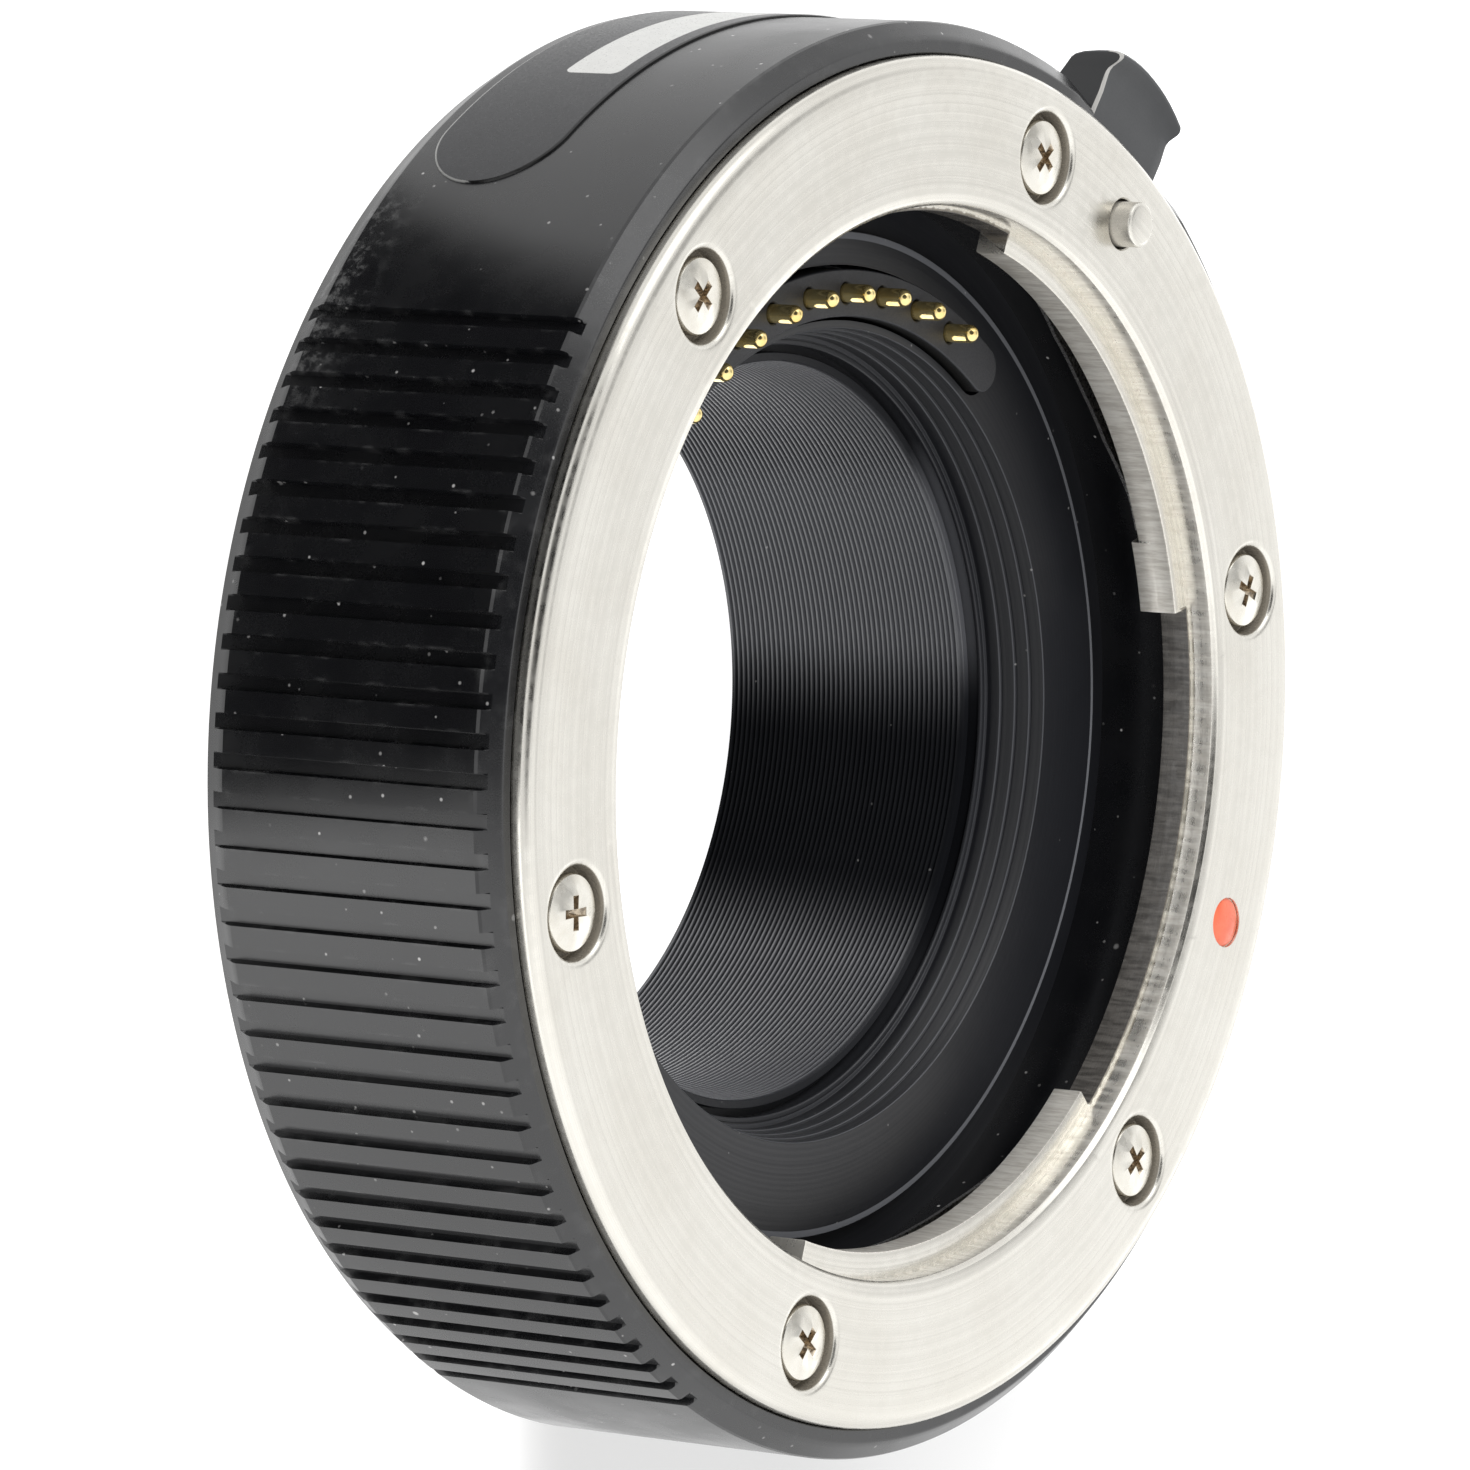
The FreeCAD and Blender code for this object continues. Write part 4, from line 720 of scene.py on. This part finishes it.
def lock_pin():
    """Turned pin with a rounded tip."""
    profile = [(0.0, 22.3), (0.78, 22.3), (0.9, 22.28), (0.97, 22.23), (1.0, 22.15), (1.0, LEVER_LOW),
               (0.5, LEVER_LOW), (0.5, 16.25), (0.0, 16.25)]
    points = turn(profile, np.arange(0, 360, 4), polar(SCREW_CIRCLE, LOCK_ANGLE))
    # Painted shade: the pin's side darker and browner than its tip
    surface = Surface().grid(points, wrap_u=True, wear_and_painted_light=[0, 0, 0, 0.2] + [0.62] * 5)
    piece("lock_pin_turned", surface, "mount_steel", "lock_pin", "release")


def release_lever():
    """Profile of arm, tab and lip carried across the lever's width. The tip draws back along a shallow arc
    towards both sides, and the outermost sections are pulled in a little for a broken edge."""
    half = 3.05
    middle = np.array([30.5, 18.6])
    profile = np.array([
        (24.95, LEVER_LOW), (24.95, 18.55), (29.82, 18.55), (29.82, 19.72), (29.9, 19.8), (31.5, 19.8),
        (32.6, 19.8), (32.87, 19.83), (33.11, 19.92), (33.31, 20.08), (33.47, 20.24), (33.6, 20.33),
        (33.73, 20.32), (33.83, 20.24), (33.91, 20.05), (33.95, 19.75), (33.94, 19.0), (33.88, 18.3),
        (33.76, 17.9), (33.6, 17.72), (33.35, 17.62), (32.4, 17.3), (31.45, 17.0), (31.3, 17.02),
        (31.2, 17.12), (31.2, LEVER_LOW)])
    across = np.array([-half, -3.02, -2.93, -2.4, -1.8, -1.2, -0.6, 0.0, 0.6, 1.2, 1.8, 2.4, 2.79, 2.85, 2.93,
                       3.02, half])
    pull = np.interp(np.abs(across), [0, 2.93, 3.02, half], [0.0, 0.0, 0.035, 0.1])
    back = 0.52 * (np.abs(across) / half) ** 2.2
    toward = profile - middle
    toward /= np.linalg.norm(toward, axis=1)[:, None]
    reach = np.clip((profile[:, 0] - 31.4) / 2.0, 0.0, 1.0)
    shaped = profile[None] - pull[:, None, None] * toward[None]
    shaped[:, :, 0] -= back[:, None] * reach[None]
    r, z = shaped[..., 0], shaped[..., 1]
    lean = np.interp(r, [31.0, 33.6], [-0.14, 0.12]) * np.clip((r - 30.5) / 0.5, 0, 1)
    t = across[:, None] + lean
    c, s = polar(1.0, LOCK_ANGLE)
    points = np.stack([c * r - s * t, s * r + c * t, z], -1)
    edge = np.interp(across, [-half, -2.93, 2.79, 2.84, half], [0.4, 0.0, 0.0, 1.0, 1.0])[:, None]
    front = np.interp(profile[:, 1], [19.6, 19.8], [0.0, 1.0])[None, :]
    lip = np.exp(-((profile[:, 0] - 33.7) / 0.12) ** 2)[None, :] * front * 0.35
    surface = Surface().grid(points, wrap_v=True, wear_and_painted_light=np.maximum(edge * front, lip))
    hub = np.array([c * middle[0], s * middle[0], middle[1]])
    # Painted shade: the tab's two side faces are marked below nought, which lever_black paints near black
    dark = -0.8
    for ring, line in ((points[0], edge[0] * front[0]), (points[-1], edge[-1] * front[0])):
        inset = ring + 0.05 * (np.append(hub[:2] + (ring - hub)[:, :2].mean(0), hub[2]) - ring) / 3.0
        surface.grid(np.stack([ring, inset], 1), wrap_u=True, wear_and_painted_light=np.stack([line, 0 * line + dark], 1))
        surface.cap(inset, dark)
    piece("release_lever_tab", surface, "lever_black", "release_lever", "release")


# Floor ring, contacts and baffle

def kidney_outline(inner, outer, sweep, ends):
    """Kidney about the contact circle: inner arc over a sweep, round end, outer arc, round end."""
    mid = (inner + outer) / 2
    wide = (outer - inner) / 2
    half = -sweep[0]
    swing = np.radians(np.linspace(0.0, 180.0, ends, endpoint=False))
    rounds = []
    for flip in (1.0, -1.0):
        c, s = polar(1.0, CONTACT_MIDDLE + flip * half)
        away = mid - wide * np.cos(swing) * flip
        along = wide * np.sin(swing) * flip
        rounds.append(np.stack([away * c - along * s, away * s + along * c], -1))
    low = np.radians(CONTACT_MIDDLE + sweep)
    high = np.radians(CONTACT_MIDDLE - sweep)
    first = inner * np.stack([np.cos(low), np.sin(low)], -1)
    last = outer * np.stack([np.cos(high), np.sin(high)], -1)
    return np.concatenate([first, rounds[0], last, rounds[1]])


def floor_ring():
    """Turned ring with four fine steps, its floor meshed from the kidney opening out to a sector's edge."""
    half = 58.0
    rows = 12
    top = 15.7
    rest = np.arange(CONTACT_MIDDLE + half, CONTACT_MIDDLE + 360.0 - half + 0.1, STEP)
    sweep = np.linspace(-KIDNEY_HALF, KIDNEY_HALF, int(2 * half / STEP), endpoint=False)
    hole = kidney_outline(18.0, 20.4, sweep, rows)
    share = np.linspace(0.0, 1.0, 4)[None, :, None]
    spot = Spot(CONTACT_MIDDLE, CONTACT_CIRCLE, half, 17.7, 21.5, rows)
    surface = Surface()
    for z, inner, outer in ((top, 17.7, 21.5), (BLOCK_SEAT, 17.8, 28.0)):
        surface.grid(sector(z, np.linspace(inner, outer, rows + 1), rest))
        ring = at_height(hole, z)[:, None]
        edge = at_height(spot.outline(inner, outer), z)[:, None]
        surface.grid(ring + share * (edge - ring), wrap_u=True)
    surface.grid(np.stack([at_height(hole, z) for z in (top, 15.66, BLOCK_SEAT)], 1), wrap_u=True)
    steps = [(17.8, BLOCK_SEAT), (17.8, 12.7), (16.86, 12.7), (16.83, 12.73), (16.83, 12.85), (16.88, 12.9),
             (17.02, 12.9), (17.04, 12.87), (17.1, 12.87), (17.12, 12.9)]
    # Painted highlights: thin lighter lines along the steps' edges
    wear_and_painted_light = [0, 0, 0, 0, 0.04, 0.05, 0.02, 0, 0, 0.1]
    for i in range(4):
        r = 17.29 + 0.12 * i
        z = 12.9 + 0.7 * i
        steps += [(r - 0.02, z), (r, z + 0.02), (r, z + 0.62), (r + 0.02, z + 0.67), (r + 0.05, z + 0.7)]
        wear_and_painted_light += [0.06, 0, 0, 0.22, 0.06 * (i < 3)]
    surface.grid(turn(steps, ROUND), wrap_u=True, wear_and_painted_light=wear_and_painted_light)
    rim = [(21.5, top), (21.51, top), (21.54, 15.695), (21.82, 15.62), (21.85, 15.59), (21.87, 15.5),
           (21.87, SHELF), (28.0, SHELF), (28.0, BLOCK_SEAT)]
    # Painted highlight: a lighter line along the floor's rounded rim
    surface.grid(turn(rim, ROUND), wrap_u=True, wear_and_painted_light=[0, 0, 0.45, 0.45, 0.2, 0, 0, 0, 0])
    piece("floor_ring_turned", surface, "floor_black", "floor_ring", sharp=20.0)


def block_columns(half, count):
    """Angles along the block: even steps over the contacts and a stretch of its own at each end."""
    end = np.linspace(CONTACT_SPAN, half, count)[1:]
    return np.concatenate([-end[::-1], np.linspace(-CONTACT_SPAN, CONTACT_SPAN, 161), end])


def contact_block():
    """Kidney plug on a flange that follows the same arc. Each contact's sector is meshed from its edge to a
    stepped hole, narrow for the pin and wide for its collar and spring, and on to the face below."""
    inner, outer, top = 18.23, 20.17, 16.3
    narrow, wide = 0.47, 0.67
    grow = 0.06
    near, far, flange_half = inner - grow, 22.6, 59.5
    sunk = BLOCK_SEAT - 0.02
    fine = CONTACT_PITCH / 16
    hole = [(narrow + 0.06, top), (narrow, top - 0.05), (narrow, COLLAR_TOP), (wide, COLLAR_TOP),
            (wide, sunk)]
    surface = Surface()
    for angle in CONTACT_ANGLES:
        spot = Spot(angle, CONTACT_CIRCLE, CONTACT_PITCH / 2, inner, outer, 6, fine)
        rings = [at_height(spot.outline(inner, outer), top)] + [spot.ring(r, z) for r, z in hole]
        rings.append(at_height(spot.outline(near, outer + grow), sunk))
        surface.grid(np.stack(rings, 1), wrap_u=True)
    for angle in CONTACT_ANGLES:
        spot = Spot(angle, CONTACT_CIRCLE, CONTACT_PITCH / 2, near, far, 6, fine)
        edge = spot.outline(near, far)
        rings = [at_height(edge, BLOCK_SEAT), spot.ring(wide, BLOCK_SEAT), spot.ring(wide, BLOCK_LOW),
                 at_height(edge, BLOCK_LOW)]
        surface.grid(np.stack(rings, 1), wrap_u=True)
    swing = np.radians(np.linspace(0.0, 180.0, 25))[:, None]
    across = np.linspace(near, far, 7)
    for sign in (1.0, -1.0):
        ends = CONTACT_MIDDLE + sign * np.linspace(CONTACT_SPAN, KIDNEY_HALF, 10)
        c, s = polar(1.0, ends[-1])
        for z, r0, r1 in ((top, inner, outer), (sunk, near, outer + grow)):
            surface.grid(sector(z, np.linspace(r0, r1, 7), ends))
            reach = np.linspace(0.0, 1.0, 4)[None, :] * (r1 - r0) / 2
            away = (r0 + r1) / 2 - reach * np.cos(swing)
            along = sign * reach * np.sin(swing)
            surface.grid(np.stack([away * c - along * s, away * s + along * c, z + 0 * away], -1))
        ends = CONTACT_MIDDLE + sign * np.linspace(CONTACT_SPAN, flange_half, 20)
        for z in (BLOCK_SEAT, BLOCK_LOW):
            surface.grid(sector(z, across, ends))
        closing = [(r, BLOCK_SEAT) for r in across] + [(r, BLOCK_LOW) for r in across[::-1]]
        surface.cap(turn(closing, ends[-1:])[0])
    rows = ((0.0, top), (0.02, top - 0.015), (0.05, top - 0.06), (grow, top - 0.12),
            (grow, BLOCK_SEAT + 0.02), (grow, sunk))
    sweep = block_columns(KIDNEY_HALF, 10)[:-1]
    walls = [at_height(kidney_outline(inner - out, outer + out, sweep, 24), z) for out, z in rows]
    # Painted light on the kidney's wall: a painted highlight just under its top edge, painted shade down the
    # wall in the gap
    surface.grid(np.stack(walls, 1), wrap_u=True, wear_and_painted_light=[0, 0.9, 0.2, -1, -1, 0])
    for r in (near, far):
        sides = turn([(r, BLOCK_SEAT), (r, BLOCK_LOW)], CONTACT_MIDDLE + block_columns(flange_half, 20))
        surface.grid(sides)
    piece("contact_block_moulded", surface, "contact_plastic", "contact_block")


def contact_pins():
    """Ten gold pins: a half-round dome on a straight stem with a collar."""
    radius, collar, dome_low = 0.41, 0.61, 17.34
    t = np.linspace(0.0, math.pi / 2, 12)
    profile = list(zip(radius * np.sin(t), dome_low + radius * np.cos(t)))
    profile += [(radius, COLLAR_TOP), (collar, COLLAR_TOP), (collar, COLLAR_LOW), (0.0, COLLAR_LOW)]
    for i, angle in enumerate(CONTACT_ANGLES, 1):
        points = turn(profile, np.arange(0, 360, 7.5), polar(CONTACT_CIRCLE, angle))
        surface = Surface().grid(points, wrap_u=True)
        piece("contact_dome_%02d" % i, surface, "contact_gold", "contact_pin_%02d" % i, "pin_%02d" % i)


def spring(name, node, centre, coil, low, high):
    """Round wire along a helix whose end turns lie almost flat: x = r cos t, y = r sin t, height by
    parts of a turn."""
    radius, wire, turns = coil
    t = np.linspace(0.0, turns, 24 * turns + 1)[:, None]
    z = np.interp(t, [0.0, 0.75, turns - 0.75, turns],
                  [low + wire / 2, low + 1.25 * wire, high - 1.25 * wire, high - wire / 2])
    a = 2 * math.pi * t
    round_wire = np.radians(np.arange(0, 360, 45))[None, :]
    r = radius + wire / 2 * np.cos(round_wire)
    points = np.stack([centre[0] + r * np.cos(a), centre[1] + r * np.sin(a),
                       z + wire / 2 * np.sin(round_wire)], -1)
    surface = Surface().grid(points, wrap_v=True).cap(points[0]).cap(points[-1])
    made = piece(name, surface, "spring_steel", node)
    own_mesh(made)


def springs():
    """Coil spring under each contact's collar and under the lever's arm, a hair short of its seat."""
    hair = 0.01
    for i, angle in enumerate(CONTACT_ANGLES, 1):
        spring("contact_coil_%02d" % i, "contact_spring_%02d" % i, polar(CONTACT_CIRCLE, angle),
               (0.46, 0.16, 3), BLOCK_LOW, COLLAR_LOW - hair)
    spring("lock_coil", "lock_pin_spring", polar(SCREW_CIRCLE, LOCK_ANGLE), (0.95, 0.26, 4),
           POCKET_FLOOR + hair, LEVER_LOW - hair)


def inner_baffle():
    """Tapered tube whose inner wall carries fine vee ridges: crests on the taper, valleys outside it."""
    ridges = 46
    z = np.linspace(12.2, 0.25, ridges * 6 + 1)
    taper = 15.7 + (z - 0.1) / 12.35 * 0.4
    valley = np.append(np.tile([0.0, 0.0, 0.0, 0.7, 1.0, 0.7], ridges), 0.0)
    crest = np.append(np.tile([1.0, 1.0, 1.0, 0.0, 0.0, 0.0], ridges), 1.0)
    mouth = [(16.1, 12.4), (16.1, 12.25)]
    outside = [(15.7, 0.12), (15.72, 0.1), (17.2, 0.1), (17.2, 1.6), (17.6, 1.6), (17.6, 3.0), (17.2, 3.0),
               (17.2, 11.4), (17.8, 11.4), (17.8, 12.7), (16.95, 12.7), (16.95, 11.85), (16.48, 11.85),
               (16.48, 12.42), (16.45, 12.45), (16.14, 12.45)]
    profile = np.concatenate([mouth, np.stack([taper + 0.17 * valley, z], -1), outside])
    # The crests, the mouth and the outer rows carry the mark for the painted sheen of baffle_black
    wear_and_painted_light = np.concatenate([np.full(len(mouth), 0.3), crest, np.full(len(outside), 0.15)])
    surface = Surface().grid(turn(profile, np.arange(0, 360, 1.5)), wrap_u=True, wrap_v=True, wear_and_painted_light=wear_and_painted_light)
    piece("baffle_threaded", surface, "baffle_black", "inner_baffle", sharp=40.0)


# Rear bayonet ring

def rear_ring():
    """Flange with counterbores and lock hole, spigot with three lugs: a profile for each stretch of angle."""
    inner, outer, bore, top = 21.8, 29.5, 19.7, 7.1
    lug_span, pitch = 52.0, 120.0
    seats = [Spot(15.0 + 90.0 * k, SCREW_CIRCLE, 6.0, inner, outer) for k in range(4)]
    lock = Spot(LOCK_ANGLE, SCREW_CIRCLE, 4.0, inner, outer)
    counterbore = [(2.1, REAR), (2.0, 5.4), (2.0, 6.25), (1.95, 6.3), (0.95, 6.3), (0.95, top)]
    surface = Surface()
    holed_face(surface, REAR, inner, outer, seats + [lock], [2.1] * 4 + [1.31])
    holed_face(surface, top, bore, outer, seats + [lock], [0.95] * 4 + [1.25])
    for seat in seats:
        surface.grid(seat.rings(counterbore), wrap_u=True)
    surface.grid(lock.rings([(1.31, REAR), (1.25, 5.36), (1.25, top)]), wrap_u=True)
    surface.grid(turn([(outer, REAR), (outer, top)], ROUND), wrap_u=True)
    nose = [(bore, top), (bore, 1.6), (20.3, 1.6), (20.3, 0.08), (20.38, 0.0), (21.42, 0.0), (21.5, 0.08),
            (21.5, 1.2)]
    surface.grid(turn(nose, ROUND), wrap_u=True)
    bare = [(21.5, 1.2), (inner, 1.2), (inner, 2.4), (inner, REAR)]
    lug = [(21.5, 1.2), (inner, 1.2), (22.7, 1.2), (22.77, 1.23), (22.8, 1.3), (22.8, 2.3), (22.77, 2.37),
           (22.7, 2.4), (inner, 2.4), (inner, REAR)]
    boss = [(0.54, 1.6), (1.1, 1.6), (1.1, 4.8), (0.0, 4.8), (0.0, 4.4), (0.54, 4.4)]
    for start in (4.0, 4.0 + pitch, 4.0 + 2 * pitch):
        surface.grid(turn(lug, np.arange(start, start + lug_span + 0.1, STEP)))
        surface.grid(turn(bare, np.arange(start + lug_span, start + pitch + 0.1, STEP)))
        surface.cap(turn(lug[1:-1], [start])[0]).cap(turn(lug[1:-1], [start + lug_span])[0])
        spot = polar(SMALL_SCREW_CIRCLE, start + lug_span / 2)
        surface.grid(turn(boss, np.arange(0, 360, 10), spot), wrap_u=True, wrap_v=True)
    piece("rear_bayonet_ring", surface, "mount_steel", "rear_mount_ring")


def rear_screws():
    """Four screws in the rear flange and three small ones in the rear contact block, heads to the rear."""
    surface = Surface()
    for k, turned in enumerate((12.0, 58.0, 33.0, 75.0)):
        screw(surface, polar(SCREW_CIRCLE, 15.0 + 90.0 * k), 5.45, turned, (1.58, 0.85), (0.8, 2.7),
              (0.85, 0.19, 0.42), -1.0)
    piece("rear_ring_screws", surface, "screw_steel", "rear_mount_screws")
    surface = Surface()
    for k, turned in enumerate((25.0, 66.0, 5.0)):
        screw(surface, polar(SMALL_SCREW_CIRCLE, 30.0 + 120.0 * k), 0.25, turned, (0.95, 0.5), (0.5, 3.0),
              (0.55, 0.13, 0.25), -1.0)
    piece("rear_small_screws", surface, "screw_steel", "rear_block_screws")


def label():
    """Film with round ends laid on the barrel: each column spans the local half height, closed behind."""
    flat, half, middle = 11.15, 3.15, 10.5
    x = (flat + half) * np.sin(np.linspace(-1.0, 1.0, 121) * math.pi / 2)[:, None]
    over = np.clip(np.abs(x) - flat, 0.0, half)
    tall = np.sqrt(np.maximum(half ** 2 - over ** 2, 0.0))
    v = np.concatenate([[-1.0, -0.972], np.linspace(-0.96, 0.96, 8), [0.975, 1.0, 1.0, -1.0]])
    radius = BARREL_R + np.array([0.08] + [0.12] * 10 + [0.08, 0.0, 0.0])
    z = middle + tall * v
    # Painted light on the film's edges: a painted highlight along the rear edge, painted shadow along the
    # front edge and its side
    wear_and_painted_light = [1.0, 0.8] + [0.0] * 8 + [-0.7, -1.0, -1.0, 0.0]
    points = np.stack([x + 0 * z, np.sqrt(radius ** 2 - x ** 2), z], -1)
    piece("label_film", Surface().grid(points, wrap_v=True, wear_and_painted_light=wear_and_painted_light), "label_black", "label")


barrel()
front_ring()
front_screws()
index_dots()
lock_pin()
release_lever()
floor_ring()
contact_block()
contact_pins()
springs()
inner_baffle()
rear_ring()
rear_screws()
label()


# Stage: pale floor, soft light, camera

def floor():
    """Pale floor. Seen directly it is white with the object's shadow; to gloss it glows as a painted
    reflection: a dark sector, as where a photographer stands, and brighter paper elsewhere; for other
    light it is a pale surface."""
    half = 2.5
    mesh = bpy.data.meshes.new("floor")
    corners = [(-half, -half, 0), (half, -half, 0), (half, half, 0), (-half, half, 0)]
    mesh.from_pydata(corners, [], [(0, 1, 2, 3)])
    made = bpy.data.objects.new("floor", mesh)
    bpy.context.scene.collection.objects.link(made)
    f = Finish("floor_pale", specular=0.0)
    f.colour((0.86, 0.86, 0.855, 1.0))
    f.feed("Roughness", 0.8)
    path = f.add("LightPath").outputs
    _, y, _, away = f.axes()

    # Level that gloss sees, a glow painted as reflection: far paper with its dark sector, paper close round
    # the tube, paper under the bore
    bright = f.span(f.toward(141.0), 0.80, 0.875, 1.0, 0.0)
    side = f.sum("ABSOLUTE", f.sum("DIVIDE", y, f.sum("MAXIMUM", away, 1.0)))
    far = f.times(bright, f.sum("SUBTRACT", 1.7, f.times(side, 0.75)))
    near = f.times(f.sum("ADD", 0.9, f.times(bright, 0.4)), f.span(away, 28.0, 30.5, 0.35, 1.0))
    under = 2.2
    share = f.span(away, 34.5, 37.5)
    outside = f.between(share, near, far)
    within = f.span(away, 17.0, 19.0)
    level = f.between(within, under, outside)
    glow = f.add("Emission", None, Strength=level).outputs[0]

    # White that the eye sees, dimmed where the tube's own shade lies in front of it and behind
    front = f.times(f.span(f.toward(287.0), 0.80, 0.95), f.span(away, 46.0, 80.0, 1.0, 0.0))
    back = f.times(f.span(f.toward(345.0), 0.25, 0.7), f.span(away, 34.0, 46.0, 1.0, 0.0))
    shaded = f.times(f.sum("MAXIMUM", front, back), f.span(away, 19.5, 21.5))
    white = f.add("Emission", None, Color=(1.0, 1.0, 1.0, 1.0), Strength=f.span(shaded, 0.0, 1.0, 0.99, 0.36))
    paper = f.add("BsdfDiffuse", None, Color=(0.55, 0.55, 0.55, 1.0))
    seen = f.add("AddShader", None, _0=white.outputs[0], _1=paper.outputs[0]).outputs[0]
    direct = f.sum("MAXIMUM", path["Is Camera Ray"], path["Is Transmission Ray"])
    shown = f.mix(path["Is Glossy Ray"], f.mix(direct, f.shader.outputs[0], seen), glow)
    f.join(shown, f.tree.nodes["Material Output"].inputs["Surface"])
    mesh.materials.append(f.made)


def light():
    """White surround for the eye; to gloss a surround with brighter and darker patches, the darkest where the
    photographer stands; soft light for the rest. Each patch is a direction, the angles at which it is whole
    and gone, and its level."""
    world = bpy.data.worlds.new("studio")
    bpy.context.scene.world = world
    world.use_nodes = True
    n = Nodes(world.node_tree)
    way = n.add("TexCoord").outputs["Generated"]
    path = n.add("LightPath").outputs
    level = 1.1
    for patch, whole, gone, glow in (
            ((0.786, -0.252, 0.565), 25.0, 50.0, 1.34), ((-0.32, -0.74, 0.59), 35.0, 60.0, 1.65),
            ((0.65, 0.04, 0.759), 8.0, 19.0, 0.55), ((0.835, -0.415, 0.361), 4.0, 9.0, 2.2),
            ((0.2, 0.75, 0.63), 10.0, 28.0, 2.6), ((-0.40, 0.42, 0.81), 24.0, 31.0, 0.02)):
        facing = n.vector("DOT_PRODUCT", way, patch)
        level = n.span(facing, polar(1.0, gone)[0], polar(1.0, whole)[0], level, glow)
    gloss = n.add("Background", None, Strength=level).outputs[0]
    soft = n.add("Background", None, Strength=0.6).outputs[0]
    white = n.add("Background", None, Color=(1.0, 1.0, 1.0, 1.0), Strength=1.0).outputs[0]
    shown = n.mix(path["Is Camera Ray"], n.mix(path["Is Glossy Ray"], soft, gloss), white)
    n.join(shown, n.tree.nodes["World Output"].inputs["Surface"])
    for name, place, size, power in (("key_softbox", (0.05, 0.6, 0.52), 0.4, 4.0),
                                     ("fill_softbox", (-0.45, -0.15, 0.5), 0.5, 2.5)):
        lamp = bpy.data.lights.new(name, "AREA")
        lamp.shape = "SQUARE"
        lamp.size = size
        lamp.energy = power
        made = bpy.data.objects.new(name, lamp)
        made.visible_glossy = False
        z = np.array(place) / np.linalg.norm(place)
        x = np.cross((0.0, 0.0, 1.0), z)
        x /= np.linalg.norm(x)
        facing = np.stack([x, np.cross(z, x), z], 1)
        made.matrix_world = Matrix.Translation(place) @ Matrix(facing.tolist()).to_4x4()
        bpy.context.scene.collection.objects.link(made)


def camera():
    """Camera of the photograph, with a long lens on a square frame: rolled about its own axis, tilted up from
    looking straight down, then turned to its heading."""
    place = (-0.351757, 0.112389, 0.263855)
    heading, tilt, roll = -107.759, 55.614, 94.546
    lens = bpy.data.cameras.new("camera")
    lens.sensor_width = 36.0
    lens.lens = 251.736
    lens.clip_start = 0.01
    lens.clip_end = 20.0
    made = bpy.data.objects.new("camera", lens)
    aim = Matrix.Rotation(math.radians(heading), 4, "Z") @ Matrix.Rotation(math.radians(tilt), 4, "X")
    aim = aim @ Matrix.Rotation(math.radians(roll), 4, "Z")
    made.matrix_world = Matrix.Translation(place) @ aim
    bpy.context.scene.collection.objects.link(made)
    bpy.context.scene.camera = made


floor()
light()
camera()
bpy.context.scene.view_settings.view_transform = "Standard"
